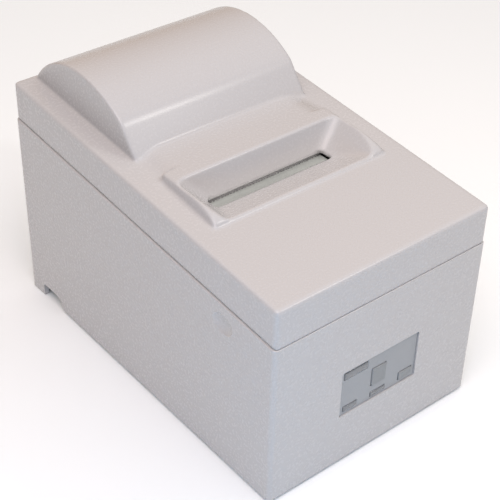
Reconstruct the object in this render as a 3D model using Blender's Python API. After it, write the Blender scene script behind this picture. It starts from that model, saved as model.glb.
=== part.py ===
"""Receipt printer with a hinged domed lid, modelled as separate parts.

Frame: +Z up, front towards -Y, origin on the table under the middle of the case.
Dimensions are millimetres; meshes are scaled to metres when an object is made.
"""

import math

import bmesh
import bpy
from mathutils import Matrix, Vector

MM = 0.001

# Driving dimensions of the housing
WIDTH = 152.0
DEPTH = 245.0
CORNER_R = 4.0
BASE_GAP = 2.0
LEG_GAP = 0.2
CASE_WALL = 3.0
SEAM_FRONT = 109.5
TOP_FRONT = 134.0
REAR_RISE = 18.0
SEAM_GAP = 0.4
LIP_RISE = 2.6
LIP_ROOT = 6.0
RIM_CHAMFER = 0.8
LID_SKIRT = 2.4
LID_SHELL = 2.5
LID_EDGE_R = 2.2

# Dome over the paper roll
DOME_HALF = 61.0
DOME_FOOT_Y = 15.3
DOME_CREASE_Y = 28.5
DOME_CROWN_Y = 72.0
CROWN_Z = 176.5
DOME_FRONT_R = 71.0
DOME_REAR_R = 58.0
DOME_REAR_Y = 121.5

# Paper-exit recess in the lid
EXIT_HALF = 42.0
EXIT_FRONT_Y = -31.0
EXIT_REAR_Y = -20.0
EXIT_FLOOR_Z = 131.5
FUNNEL_TOP_Z = 150.5
FUNNEL_TOP_HALF = 62.2
FUNNEL_TOP_FRONT = -77.0
FUNNEL_TOP_REAR = -13.7
FUNNEL_WALL = 2.0
CHEEK_TOP_Z = 147.0
CHEEK_BASE_HALF = 60.5
CHEEK_RIDGE_HALF = 58.5
CHEEK_REAR_HALF = 49.0
CHEEK_FRONT_Y = -54.0
CHEEK_FLAT_Y = -22.0
CHEEK_STEP_Y = -8.0

# Lid hinge
HINGE_Y = 120.0
HINGE_Z = SEAM_FRONT + REAR_RISE + 2.5
BARREL_R = 2.5
LUG_R = 2.3
PIN_R = 1.5
PIN_BORE_R = 1.6
LUG_IN = 51.0
LUG_OUT = 61.0
HINGE_SLOT_IN = 50.4
HINGE_SLOT_OUT = 61.6

# Front panel and buttons
PANEL_X = (-27.5, 30.0)
PANEL_Z = (36.0, 68.5)
PANEL_DEPTH = 1.8
PANEL_GAP = 0.3
BUTTON_GAP = 0.35
CAP_DEPTH = 0.2
BUTTON_END = 6.0

# Openings in the side walls
NOTCH_Y = (83.5, 107.5)
NOTCH_Z = 9.5
DIMPLE = (-80.5, 100.5)
SWITCH_X = 71.0
SWITCH_Y = -95.0
SWITCH_Z = 30.0

# Base, feet and frame
PLATE_BOTTOM = 3.4
PLATE_TOP = 4.6
FOOT_TOP = 3.1
SCREW_X = 68.5
SCREW_Y = (-108.0, 60.0)
FRONT_FOOT = (56.0, -100.0)
REAR_FOOT = (66.8, 114.0)
BAY_WALL_Y = 74.0
BAY_TOP = 46.0
BAY_HALF = 62.0
DECK_TOP = 62.0
BOARD_Z = (14.0, 15.6)
ON_BOARD = BOARD_Z[1] + 0.3

# Paper and print mechanism
FEED_AXIS = (-15.5, 113.5)
FEED_R = 6.0
PINCH_AXIS = (-28.3, 113.5)
PINCH_R = 5.9
FEED_MOTOR_AXIS = (-6.0, 79.0)
ROLL_CENTRE = (72.0, 127.0)
ROLL_TROUGH_R = 45.0
TEAR_SCREW = (37.0, -40.0)
TOOTH_PITCH = 2.0
SHAFT_FRONT_Y = -62.0
SHAFT_REAR_Y = -44.0
SHAFT_Z = 80.0
SHAFT_R = 3.0
SIDE_IN = 58.0
SIDE_OUT = 59.5
PULLEY_R = 6.0
PULLEY_X = 44.0
PULLEY_Y = -77.0
PULLEY_Z = (74.0, 80.0)
LEVER_PIVOT = (-46.0, 106.0)
KNOB_X = -46.0
KNOB_Y = -92.0

# Gears: module 1, so a pitch radius is half the tooth count
FEED_TEETH = 24
REDUCTION_TEETH = 20
PINION_TEETH = 10
GEAR_X = (60.6, 65.6)
ADDENDUM = 0.7
DEDENDUM = 1.2
MESH_GAP = 0.15

# Colours: linear red, green, blue
COLOURS = {
    "case_plastic": ((0.60, 0.58, 0.57), 0.45, 0.0),
    "inner_plastic": ((0.20, 0.20, 0.21), 0.55, 0.0),
    "black_plastic": ((0.02, 0.02, 0.022), 0.45, 0.0),
    "panel_grey": ((0.32, 0.33, 0.34), 0.50, 0.0),
    "button_grey": ((0.24, 0.25, 0.26), 0.50, 0.0),
    "smoke_window": ((0.10, 0.11, 0.12), 0.15, 0.0),
    "rubber_black": ((0.02, 0.02, 0.02), 0.85, 0.0),
    "steel": ((0.55, 0.56, 0.55), 0.35, 1.0),
    "aluminium": ((0.70, 0.71, 0.72), 0.40, 1.0),
    "white_nylon": ((0.75, 0.74, 0.70), 0.50, 0.0),
    "pcb_green": ((0.02, 0.14, 0.06), 0.40, 0.0),
    "ribbon_fabric": ((0.03, 0.02, 0.06), 0.90, 0.0),
}


def clear_scene():
    for item in list(bpy.data.objects):
        bpy.data.objects.remove(item, do_unlink=True)


def material(slot):
    """Principled material of a named slot, made once."""
    found = bpy.data.materials.get(slot)
    if found:
        return found
    colour, roughness, metallic = COLOURS[slot]
    made = bpy.data.materials.new(slot)
    made.use_nodes = True
    shader = made.node_tree.nodes["Principled BSDF"]
    shader.inputs["Base Color"].default_value = (*colour, 1.0)
    shader.inputs["Roughness"].default_value = roughness
    shader.inputs["Metallic"].default_value = metallic
    made.diffuse_color = (*colour, 1.0)
    return made


# ---------------------------------------------------------------- mesh builders

def faced_out(shape):
    bmesh.ops.recalc_face_normals(shape, faces=shape.faces)
    return shape


def box(x, y, z):
    """Block between pairs of limits along each axis."""
    shape = bmesh.new()
    bmesh.ops.create_cube(shape, size=1.0)
    for vert in shape.verts:
        vert.co.x = x[1] if vert.co.x > 0 else x[0]
        vert.co.y = y[1] if vert.co.y > 0 else y[0]
        vert.co.z = z[1] if vert.co.z > 0 else z[0]
    return faced_out(shape)


def placed(axis, u, v, along):
    """Point from outline coordinates (u, v) and a place along the named axis."""
    if axis == "X":
        return Vector((along, u, v))
    if axis == "Y":
        return Vector((u, along, v))
    return Vector((u, v, along))


def loft(rings, capped=True):
    """Skin closed rings of equal length; uncapped, the last ring joins the first."""
    shape = bmesh.new()
    rows = [[shape.verts.new(point) for point in ring] for ring in rings]
    pairs = list(zip(rows, rows[1:]))
    if capped:
        shape.faces.new(rows[0])
        shape.faces.new(rows[-1])
    else:
        pairs.append((rows[-1], rows[0]))
    for low, high in pairs:
        count = len(low)
        for i in range(count):
            j = (i + 1) % count
            shape.faces.new((low[i], low[j], high[j], high[i]))
    return faced_out(shape)


def prism(outline, axis, lo, hi):
    """Outline extruded along an axis."""
    return loft([[placed(axis, u, v, s) for u, v in outline] for s in (lo, hi)])


def arc(centre, radius, start, end, steps):
    """Points on an arc, angles in degrees, both ends included."""
    points = []
    for i in range(steps + 1):
        angle = math.radians(start + (end - start) * i / steps)
        points.append((centre[0] + radius * math.cos(angle), centre[1] + radius * math.sin(angle)))
    return points


def circle(centre, radius, segments=24):
    return arc(centre, radius, 0.0, 360.0, segments)[:-1]


def rounded(u, v, radius, steps=3):
    """Rectangle outline with round corners, anticlockwise."""
    points = []
    corners = ((u[1], v[0], -90), (u[1], v[1], 0), (u[0], v[1], 90), (u[0], v[0], 180))
    for cu, cv, start in corners:
        inner = (cu - math.copysign(radius, cu - sum(u) / 2), cv - math.copysign(radius, cv - sum(v) / 2))
        points += arc(inner, radius, start, start + 90, steps)
    return points


def cylinder(axis, centre, radius, lo, hi, segments=24):
    return prism(circle(centre, radius, segments), axis, lo, hi)


def turned(axis, centre, profile, segments=24):
    """Solid of stacked discs: profile lists (radius, place along the axis)."""
    rings = []
    for radius, along in profile:
        rings.append([placed(axis, u, v, along) for u, v in circle(centre, radius, segments)])
    return loft(rings)


def offset_path(path, half):
    """Closed outline of a strip of given half thickness along an open 2-D path."""
    left = []
    right = []
    last = len(path) - 1
    for i, point in enumerate(path):
        before = Vector(path[max(i - 1, 0)])
        after = Vector(path[min(i + 1, last)])
        run = (after - before).normalized()
        side = Vector((-run.y, run.x)) * half
        left.append(tuple(Vector(point) + side))
        right.append(tuple(Vector(point) - side))
    return left + right[::-1]


# ---------------------------------------------------------------- solid operations

def to_mesh_object(name, shape):
    """Object in metres from a shape in millimetres."""
    mesh = bpy.data.meshes.new(name)
    shape.to_mesh(mesh)
    shape.free()
    mesh.transform(Matrix.Scale(MM, 4))
    made = bpy.data.objects.new(name, mesh)
    bpy.context.scene.collection.objects.link(made)
    return made


def combine(shape, tools, operation):
    """Apply one Boolean after another, and give the result back in millimetres."""
    base = to_mesh_object("base", shape)
    for tool in tools:
        other = to_mesh_object("tool", tool)
        step = base.modifiers.new("step", "BOOLEAN")
        step.operation = operation
        step.solver = "EXACT"
        step.object = other
        graph = bpy.context.evaluated_depsgraph_get()
        result = bpy.data.meshes.new_from_object(base.evaluated_get(graph))
        base.modifiers.clear()
        base.data = result
        bpy.data.objects.remove(other, do_unlink=True)
    done = bmesh.new()
    done.from_mesh(base.data)
    bpy.data.objects.remove(base, do_unlink=True)
    bmesh.ops.scale(done, vec=(1 / MM, 1 / MM, 1 / MM), verts=done.verts)
    bmesh.ops.remove_doubles(done, verts=done.verts, dist=0.001)
    bmesh.ops.dissolve_degenerate(done, dist=0.001, edges=done.edges)
    return done


def cut(shape, *tools):
    return combine(shape, tools, "DIFFERENCE")


def join(shape, *tools):
    return combine(shape, tools, "UNION")


def put(name, shape, slot, pivot=None):
    """Finish a part; a moving part gets its origin on its pivot point."""
    made = to_mesh_object(name, shape)
    made.data.materials.clear()
    made.data.materials.append(material(slot))
    for face in made.data.polygons:
        face.material_index = 0
    if pivot:
        place = Vector(pivot) * MM
        made.data.transform(Matrix.Translation(-place))
        made.location = place
    made.data.shade_smooth()
    made.data.set_sharp_from_angle(angle=math.radians(32))
    return made


# ---------------------------------------------------------------- shared surfaces

def seam_z(y):
    """Height of the sloping joint between case and lid."""
    return SEAM_FRONT + (y + DEPTH / 2) * REAR_RISE / DEPTH


def top_z(y):
    """Height of the lid's flat top, parallel to the seam."""
    return TOP_FRONT + (y + DEPTH / 2) * REAR_RISE / DEPTH


def footprint(inset, radius=None):
    """Outline of the housing, moved inwards by an inset."""
    half_x = WIDTH / 2 - inset
    half_y = DEPTH / 2 - inset
    corner = max(CORNER_R - inset, 0.6) if radius is None else radius
    return rounded((-half_x, half_x), (-half_y, half_y), corner)


def ring_at(outline, height):
    """Outline lifted to a level, or to a surface given as a function of y."""
    if callable(height):
        return [Vector((x, y, height(y))) for x, y in outline]
    return [Vector((x, y, height)) for x, y in outline]


def both_sides(function):
    """The same shape for the left (-1) and the right (+1)."""
    return [function(-1), function(1)]


def span(side, near, far):
    """Limits in x of something lying between two distances from the middle."""
    return tuple(sorted((side * near, side * far)))


# ---------------------------------------------------------------- case

def case_walls():
    """Four walls with a chamfered, sloping upper rim."""
    def rim(y):
        return seam_z(y) - SEAM_GAP

    def under_rim(y):
        return rim(y) - RIM_CHAMFER

    rings = [
        ring_at(footprint(0.0), LEG_GAP),
        ring_at(footprint(0.0), under_rim),
        ring_at(footprint(RIM_CHAMFER), rim),
        ring_at(footprint(CASE_WALL), rim),
        ring_at(footprint(CASE_WALL), LEG_GAP),
    ]
    return loft(rings, capped=False)


def alignment_lip():
    """Inner lip that the lid drops over, left out along the hinge."""
    outer = footprint(CASE_WALL - 0.1, 1.2)
    inner = footprint(CASE_WALL + 1.5, 1.2)

    def low(y):
        return seam_z(y) - LIP_ROOT

    def high(y):
        return seam_z(y) + LIP_RISE

    rings = [ring_at(outer, low), ring_at(outer, high), ring_at(inner, high), ring_at(inner, low)]
    lip = loft(rings, capped=False)
    return cut(lip, box((-80, 80), (108, 125), (90, 150)))


def hinge_lug(side):
    """Lug on the rear wall that holds a hinge pin."""
    outline = [(HINGE_Y - LUG_R, HINGE_Z - 8), (HINGE_Y + LUG_R, HINGE_Z - 8)]
    outline += arc((HINGE_Y, HINGE_Z), LUG_R, 0, 180, 10)
    return prism(outline, "X", *span(side, LUG_IN, LUG_OUT))


def screw_boss(x_side, y):
    """Boss on a side wall for a base screw."""
    return box(span(x_side, 64.5, 73.5), (y - 4, y + 4), (4.9, 20.0))


def cable_notch(side):
    """Opening in the lower edge of a side wall, sloped at its front."""
    front, rear = NOTCH_Y
    outline = [(front, -1), (front + 1, NOTCH_Z - 5.5), (front + 3.5, NOTCH_Z - 1.5), (front + 6.5, NOTCH_Z)]
    outline += arc((rear - 2.0, NOTCH_Z - 2.0), 2.0, 90, 0, 3)
    outline.append((rear, -1))
    return prism(outline, "X", *span(side, 70, 80))


def finger_dimple(side):
    """Shallow oval cutter at the front of a side wall."""
    shape = bmesh.new()
    bmesh.ops.create_uvsphere(shape, u_segments=20, v_segments=8, radius=1.0)
    turn = Matrix.Rotation(math.radians(90), 4, "Y")
    size = Matrix.Diagonal((3.0, 9.2, 6.9, 1.0))
    place = Matrix.Translation((side * (WIDTH / 2 + 1.5), *DIMPLE))
    shape.transform(place @ size @ turn)
    return faced_out(shape)


BUTTONS = {
    "feed_button": ((-4.0, 6.5), (46.0, 58.5)),
    "online_button": ((17.5, 27.5), (38.5, 44.0)),
}
LENSES = {
    "status_window": ((-25.0, -8.0), (61.8, 66.5)),
    "power_lamp": ((-24.5, -14.5), (38.3, 41.8)),
    "error_lamp": ((-4.0, 7.0), (38.0, 41.2)),
}


def grown(limits, by):
    return (limits[0] - by, limits[1] + by)


def main_case():
    shell = case_walls()
    front = -DEPTH / 2
    added = [alignment_lip()]
    added += both_sides(hinge_lug)
    added.append(box((-73.5, 73.5), (74.5, 119.8), (BAY_TOP, BAY_TOP + 2.5)))
    for side in (-1, 1):
        added.append(box(span(side, 61.0, 73.5), (108.5, 119.8), (3.4, 5.4)))
        added += [screw_boss(side, y) for y in SCREW_Y]
    added.append(box((-31.5, 34.0), (front + 2.9, front + 5.0), (32.0, 72.5)))
    for x, z in ((-27.0, 37.0), (29.5, 67.0)):
        added.append(cylinder("Y", (x, z), 2.2, front + 4.9, front + 9.2, 12))
    shell = join(shell, *added)

    removed = [
        box((-80, 80), (-130, 107.5), (-1, BASE_GAP)),
        box((-66, 66), (100, 130), (-1, BASE_GAP)),
        box((-BAY_HALF, BAY_HALF), (117, 125), (-1, BAY_TOP)),
        box(PANEL_X, (front - 1, front + 2.1), PANEL_Z),
        box((72, 78), grown((SWITCH_Y, SWITCH_Y), 7.3), grown((SWITCH_Z, SWITCH_Z), 10.8)),
        cylinder("X", (HINGE_Y, HINGE_Z), PIN_BORE_R, -70, 70),
    ]
    removed += both_sides(cable_notch) + both_sides(finger_dimple)
    for x_limits, z_limits in BUTTONS.values():
        removed.append(box(grown(x_limits, BUTTON_GAP), (front - 1, front + 6), grown(z_limits, BUTTON_GAP)))
    for side in (-1, 1):
        for y in SCREW_Y:
            removed.append(cylinder("Z", (side * SCREW_X, y), 1.5, 3, 16, 12))
    put("main_case", cut(shell, *removed), "case_plastic")


def control_panel():
    front = -DEPTH / 2
    plate = box(grown(PANEL_X, -PANEL_GAP), (front + 0.8, front + PANEL_DEPTH), grown(PANEL_Z, -PANEL_GAP))
    holes = []
    for x_limits, z_limits in LENSES.values():
        holes.append(box(grown(x_limits, PANEL_GAP), (front, front + 3), grown(z_limits, PANEL_GAP)))
    for x_limits, z_limits in BUTTONS.values():
        holes.append(box(grown(x_limits, BUTTON_GAP), (front, front + 3), grown(z_limits, BUTTON_GAP)))
    put("control_panel", cut(plate, *holes), "panel_grey")
    for name, (x_limits, z_limits) in LENSES.items():
        put(name, box(x_limits, (front + 0.5, front + PANEL_DEPTH), z_limits), "smoke_window")


def buttons():
    """Caps that pass through the panel and a flange behind the front wall."""
    front = -DEPTH / 2
    for name, (x_limits, z_limits) in BUTTONS.items():
        centre_x = sum(x_limits) / 2
        centre_z = sum(z_limits) / 2
        cap = box(x_limits, (front + CAP_DEPTH, front + BUTTON_END), z_limits)
        flange_y = (front + BUTTON_END - 0.7, front + BUTTON_END + 0.3)
        flange = box(grown(x_limits, 1.2), flange_y, grown(z_limits, 1.2))
        stem = cylinder("Y", (centre_x, centre_z), 1.5, front + BUTTON_END, front + BUTTON_END + 2.3, 12)
        put(name, join(cap, flange, stem), "button_grey", (centre_x, front, centre_z))
    board = box((-28.5, 31.0), (front + 9.5, front + 11.1), (35.5, 68.5))
    put("panel_board", board, "pcb_green")


# ---------------------------------------------------------------- lid

def lid_outer_slab():
    """Skirt and flat top, with a round edge between them."""
    def bottom(y):
        return seam_z(y) + SEAM_GAP

    rings = [ring_at(footprint(0.0), bottom)]
    for step in range(4):
        angle = math.radians(30 * step)
        inset = LID_EDGE_R * (1 - math.cos(angle))
        drop = LID_EDGE_R * (1 - math.sin(angle))
        rings.append(ring_at(footprint(inset), lambda y, d=drop: top_z(y) - d))
    return loft(rings)


def lid_inner_slab():
    outline = footprint(LID_SKIRT, 1.6)
    return loft([
        ring_at(outline, lambda y: seam_z(y) - 5),
        ring_at(outline, lambda y: top_z(y) - LID_SHELL),
    ])


def dome_profile(shell, floor_z):
    """Side view of the dome, moved inwards by a shell thickness."""
    front_centre = (DOME_CROWN_Y, CROWN_Z - DOME_FRONT_R)
    rear_centre = (DOME_CROWN_Y, CROWN_Z - DOME_REAR_R)
    crease_y = DOME_CREASE_Y + 0.8 * shell
    front_r = DOME_FRONT_R - shell
    rear_r = DOME_REAR_R - shell
    crease = 180 - math.degrees(math.acos((DOME_CROWN_Y - crease_y) / front_r))
    rear_end = math.degrees(math.acos((DOME_REAR_Y - 1.2 * shell - DOME_CROWN_Y) / rear_r))
    foot_y = DOME_FOOT_Y + 1.25 * shell
    outline = [(foot_y, floor_z), (foot_y, top_z(DOME_FOOT_Y) - 0.4)]
    outline += arc(front_centre, front_r, crease, 90, 8)
    outline += arc(rear_centre, rear_r, 90, rear_end, 8)[1:]
    outline.append((DOME_REAR_Y - 1.2 * shell, floor_z))
    return outline


def dome(shell, floor_z):
    half = DOME_HALF - shell
    return prism(dome_profile(shell, floor_z), "X", -half, half)


def cheek_height(y):
    """Top of the raised band: level, then an elliptical drop at its front."""
    if y >= CHEEK_FLAT_Y:
        return CHEEK_TOP_Z
    start = top_z(CHEEK_FRONT_Y)
    part = (CHEEK_FLAT_Y - y) / (CHEEK_FLAT_Y - CHEEK_FRONT_Y)
    return start - 0.2 + (CHEEK_TOP_Z - start + 0.2) * math.sqrt(max(0.0, 1 - part * part))


CHEEK_STATIONS = (CHEEK_FRONT_Y, -52.0, -48.0, -42.0, -34.0, -27.0, CHEEK_FLAT_Y, CHEEK_STEP_Y)


def cheek_band(stations, ridge_half):
    """Raised band lofted through sections across the lid."""
    rings = []
    for y in stations:
        foot = top_z(y) - 0.3
        outline = (
            (-CHEEK_BASE_HALF, foot - 1.0), (CHEEK_BASE_HALF, foot - 1.0), (CHEEK_BASE_HALF, foot),
            (ridge_half, cheek_height(y)), (-ridge_half, cheek_height(y)), (-CHEEK_BASE_HALF, foot),
        )
        rings.append([Vector((x, y, z)) for x, z in outline])
    return loft(rings)


def exit_outline(half, front, rear, front_r, rear_r):
    """Rectangle with small front corners and large rear corners."""
    points = arc((half - front_r, front + front_r), front_r, -90, 0, 3)
    points += arc((half - rear_r, rear - rear_r), rear_r, 0, 90, 3)
    points += arc((-half + rear_r, rear - rear_r), rear_r, 90, 180, 3)
    points += arc((-half + front_r, front + front_r), front_r, 180, 270, 3)
    return points


def funnel(grow, floor_z):
    """Sloping walls of the paper-exit recess, moved outwards by a distance."""
    wide = 1.45 * grow
    low = exit_outline(EXIT_HALF + grow, EXIT_FRONT_Y - grow, EXIT_REAR_Y + grow, 1.0, 1.5)
    high = exit_outline(
        FUNNEL_TOP_HALF + wide, FUNNEL_TOP_FRONT - 2 * wide, FUNNEL_TOP_REAR + wide, 3.0, 9.0)
    rings = [ring_at(low, floor_z), ring_at(low, EXIT_FLOOR_Z), ring_at(high, FUNNEL_TOP_Z)]
    return loft(rings)


def tear_screw_place(side):
    return (side * TEAR_SCREW[0], TEAR_SCREW[1])


def tear_bar_boss(side):
    return cylinder("Z", tear_screw_place(side), 3.2, EXIT_FLOOR_Z - 2.0, EXIT_FLOOR_Z + 4.0, 12)


def barrel(side, near, far):
    """Hinge barrel with a web that ties it to the lid's rear wall."""
    x_limits = span(side, near, far)
    round_part = cylinder("X", (HINGE_Y, HINGE_Z), BARREL_R, *x_limits)
    web = box(x_limits, (HINGE_Y - 1.5, HINGE_Y + 1.0), (HINGE_Z + 0.5, HINGE_Z + 6.0))
    return join(round_part, web)


def top_cover():
    outer = join(
        lid_outer_slab(),
        dome(0.0, 138.0),
        cheek_band(CHEEK_STATIONS, CHEEK_RIDGE_HALF),
        cheek_band((CHEEK_STEP_Y - 0.5, 20.0), CHEEK_REAR_HALF),
    )
    hollow = join(lid_inner_slab(), dome(LID_SHELL, 130.0), box((-46, 46), (-9, 19), (135, 144.5)))
    hollow = cut(hollow, funnel(FUNNEL_WALL, EXIT_FLOOR_Z - FUNNEL_WALL))
    lid = cut(outer, hollow)
    lid = join(lid, *both_sides(tear_bar_boss))

    edge = box((-80, 80), (HINGE_Y, HINGE_Y + 6), (HINGE_Z - 10, HINGE_Z))
    edge = cut(edge, cylinder("X", (HINGE_Y, HINGE_Z), BARREL_R + 0.1, -85, 85, 32))
    removed = [funnel(0.0, EXIT_FLOOR_Z - 6.0), edge]
    for side in (-1, 1):
        slot_x = span(side, HINGE_SLOT_IN, HINGE_SLOT_OUT)
        removed.append(box(slot_x, (110, 124), (HINGE_Z - 8, HINGE_Z + 3.5)))
        removed.append(cylinder("Z", tear_screw_place(side), 1.3, 128, EXIT_FLOOR_Z + 1.0, 12))
    lid = cut(lid, *removed)
    barrels = []
    for side in (-1, 1):
        barrels.append(barrel(side, 44.5, HINGE_SLOT_IN))
        barrels.append(barrel(side, HINGE_SLOT_OUT, 68.0))
    lid = join(lid, *barrels)
    bores = [
        cylinder("X", (HINGE_Y, HINGE_Z), PIN_BORE_R, *span(side, 45.7, 66.3)) for side in (-1, 1)
    ]
    put("top_cover", cut(lid, *bores), "case_plastic", (0, HINGE_Y, HINGE_Z))


def hinge_pins():
    for side, label in ((-1, "left"), (1, "right")):
        pin = cylinder("X", (HINGE_Y, HINGE_Z), PIN_R, *span(side, 46.0, 66.0))
        put("hinge_pin_" + label, pin, "steel")


def tear_bar():
    """Steel strip with a saw-toothed rear edge."""
    half = EXIT_HALF - 0.8
    count = int(2 * half / TOOTH_PITCH)
    tip = EXIT_REAR_Y - 1.4
    gullet = tip - 1.0
    outline = [(-half, -44.0), (half, -44.0), (half, gullet)]
    for i in range(count):
        x = half - TOOTH_PITCH * i
        outline.append((x - TOOTH_PITCH / 2, tip))
        outline.append((x - TOOTH_PITCH, gullet))
    outline[-1] = (-half, gullet)
    strip = prism(outline, "Z", EXIT_FLOOR_Z - 3.1, EXIT_FLOOR_Z - 2.3)
    holes = [cylinder("Z", tear_screw_place(side), 1.4, 120, 135, 12) for side in (-1, 1)]
    put("tear_bar", cut(strip, *holes), "steel", (0, HINGE_Y, HINGE_Z))
    for side, label in ((-1, "left"), (1, "right")):
        profile = ((2.6, 126.8), (2.6, 128.1), (1.0, 128.1), (1.0, 132.0))
        screw = turned("Z", tear_screw_place(side), profile, 12)
        put("tear_bar_screw_" + label, screw, "steel", (0, HINGE_Y, HINGE_Z))


# ---------------------------------------------------------------- base and electronics

CONNECTORS = {
    "interface_connector": ((-48.0, 6.0), (ON_BOARD, 30.0), "aluminium"),
    "power_jack": ((14.0, 28.0), (ON_BOARD, 29.0), "black_plastic"),
    "drawer_jack": ((34.0, 48.0), (ON_BOARD, 29.5), "black_plastic"),
}


def base_plate():
    floor = box((-72.4, 72.4), (-118.8, BAY_WALL_Y), (PLATE_BOTTOM, PLATE_TOP))
    wall = box((-61.7, 61.7), (BAY_WALL_Y - 1.2, BAY_WALL_Y), (PLATE_BOTTOM, BAY_TOP - 0.3))
    posts = []
    for x in (-45.0, 45.0):
        for y in (-54.0, 60.0):
            posts.append(cylinder("Z", (x, y), 3.0, PLATE_BOTTOM + 0.3, 13.7, 12))
    plate = join(floor, wall, *posts)
    holes = []
    for x_limits, z_limits, _ in CONNECTORS.values():
        holes.append(box(grown(x_limits, 0.5), (70, 76), grown(z_limits, 0.5)))
    for side in (-1, 1):
        for y in SCREW_Y:
            holes.append(cylinder("Z", (side * SCREW_X, y), 1.8, 2, 6, 12))
    put("base_plate", cut(plate, *holes), "steel")


def base_screws():
    head_top = PLATE_BOTTOM - 0.3
    profile = ((3.0, 1.4), (3.0, head_top), (1.2, head_top), (1.2, 14.0))
    for row, y in zip(("front", "rear"), SCREW_Y):
        for side, label in ((-1, "left"), (1, "right")):
            screw = turned("Z", (side * SCREW_X, y), profile, 12)
            put("base_screw_" + row + "_" + label, screw, "steel")


def feet():
    front = ((7.2, 0.0), (8.0, 0.8), (8.0, FOOT_TOP))
    rear = ((3.8, 0.0), (4.3, 0.6), (4.3, FOOT_TOP))
    for side, label in ((-1, "left"), (1, "right")):
        front_foot = turned("Z", (side * FRONT_FOOT[0], FRONT_FOOT[1]), front, 20)
        rear_foot = turned("Z", (side * REAR_FOOT[0], REAR_FOOT[1]), rear, 16)
        put("foot_front_" + label, front_foot, "rubber_black")
        put("foot_rear_" + label, rear_foot, "rubber_black")


def main_board():
    board = box((-50, 50), (-60, 68), BOARD_Z)
    chip_foot = BOARD_Z[1] - 0.1
    chips = [
        box((-20, 2), (-10, 12), (chip_foot, chip_foot + 2.5)),
        box((12, 26), (-34, -24), (chip_foot, chip_foot + 2.0)),
        box((-38, -28), (20, 34), (chip_foot, chip_foot + 2.0)),
    ]
    put("main_board", join(board, *chips), "pcb_green")
    for name, (x_limits, z_limits, slot) in CONNECTORS.items():
        body = box(x_limits, (58.0, 79.0), z_limits)
        socket = box(grown(x_limits, -2.0), (70.0, 80.0), grown(z_limits, -2.5))
        put(name, cut(body, socket), slot)
    profile = ((9.0, ON_BOARD), (9.0, 38.5), (8.2, 39.5))
    put("smoothing_capacitor", turned("Z", (30.0, 34.0), profile, 20), "black_plastic")


def heat_sink():
    """Comb of upright fins on a common foot."""
    left, right = -45.0, -15.0
    fins = 6
    fin = 1.8
    pitch = (right - left - fin) / (fins - 1)
    outline = [(left, ON_BOARD), (right, ON_BOARD)]
    for i in range(fins):
        edge = right - pitch * i
        outline += [(edge, 36.0), (edge - fin, 36.0)]
        if i < fins - 1:
            outline += [(edge - fin, ON_BOARD + 3.1), (edge - pitch, ON_BOARD + 3.1)]
    put("heat_sink", prism(outline, "Y", -52.0, -40.0), "aluminium")


def power_switch():
    """Rocker in a bushing at the front of the right-hand wall."""
    x, y, z = SWITCH_X, SWITCH_Y, SWITCH_Z
    body = box((60, 75.6), (y - 7, y + 7), (z - 10.5, z + 10.5))
    blades = [box((55, 60.5), (y - 3, y + 3), (z + d, z + d + 0.8)) for d in (-6.0, 5.0)]
    body = join(body, *blades)
    sockets = cylinder("Y", (x, z), 1.3, y - 6.5, y + 6.5, 16)
    body = cut(body, box((66.0, 78), (y - 5.9, y + 5.9), (z - 9.2, z + 9.2)), sockets)
    put("power_switch", body, "black_plastic")
    rocker = box((-3.0, 3.6), (-5.5, 5.5), (-8.2, 8.2))
    rocker = join(rocker, cylinder("Y", (0, 0), 1.2, -6.2, 6.2, 16))
    tilt = Matrix.Rotation(math.radians(8), 4, "Y")
    rocker.transform(Matrix.Translation((x, y, z)) @ tilt)
    put("power_rocker", rocker, "black_plastic", (x, y, z))


# ---------------------------------------------------------------- frame and paper path

def inner_chassis():
    """Deck on four legs that carries the print mechanism."""
    front_deck = box((-64, 64), (-108, 21), (DECK_TOP - 2, DECK_TOP))
    rear_deck = box((-70, 70), (20, 34), (DECK_TOP - 2, DECK_TOP))
    legs = []
    for x, y in ((-56, 6), (56, 6), (-28, -102), (28, -102)):
        legs.append(box((x - 5, x + 5), (y - 5, y + 5), (PLATE_TOP + 0.3, DECK_TOP - 1)))
    post = cylinder("Z", (PULLEY_X, PULLEY_Y), 1.2, DECK_TOP - 1, 81.0, 16)
    deck = join(front_deck, rear_deck, post, *legs)
    deck = cut(deck, cylinder("Z", (-PULLEY_X, PULLEY_Y), 12.6, 50, 70))
    put("inner_chassis", deck, "steel")


def gear_centre():
    """Centre of the reduction gear, in mesh with the feed gear and the pinion."""
    feed = Vector(FEED_AXIS)
    motor = Vector(FEED_MOTOR_AXIS)
    to_feed = (FEED_TEETH + REDUCTION_TEETH) / 2 + MESH_GAP
    to_motor = (REDUCTION_TEETH + PINION_TEETH) / 2 + MESH_GAP
    line = motor - feed
    reach = line.length
    along = (reach ** 2 + to_feed ** 2 - to_motor ** 2) / (2 * reach)
    aside = math.sqrt(to_feed ** 2 - along ** 2)
    run = line.normalized()
    return feed + run * along + Vector((-run.y, run.x)) * aside


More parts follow.
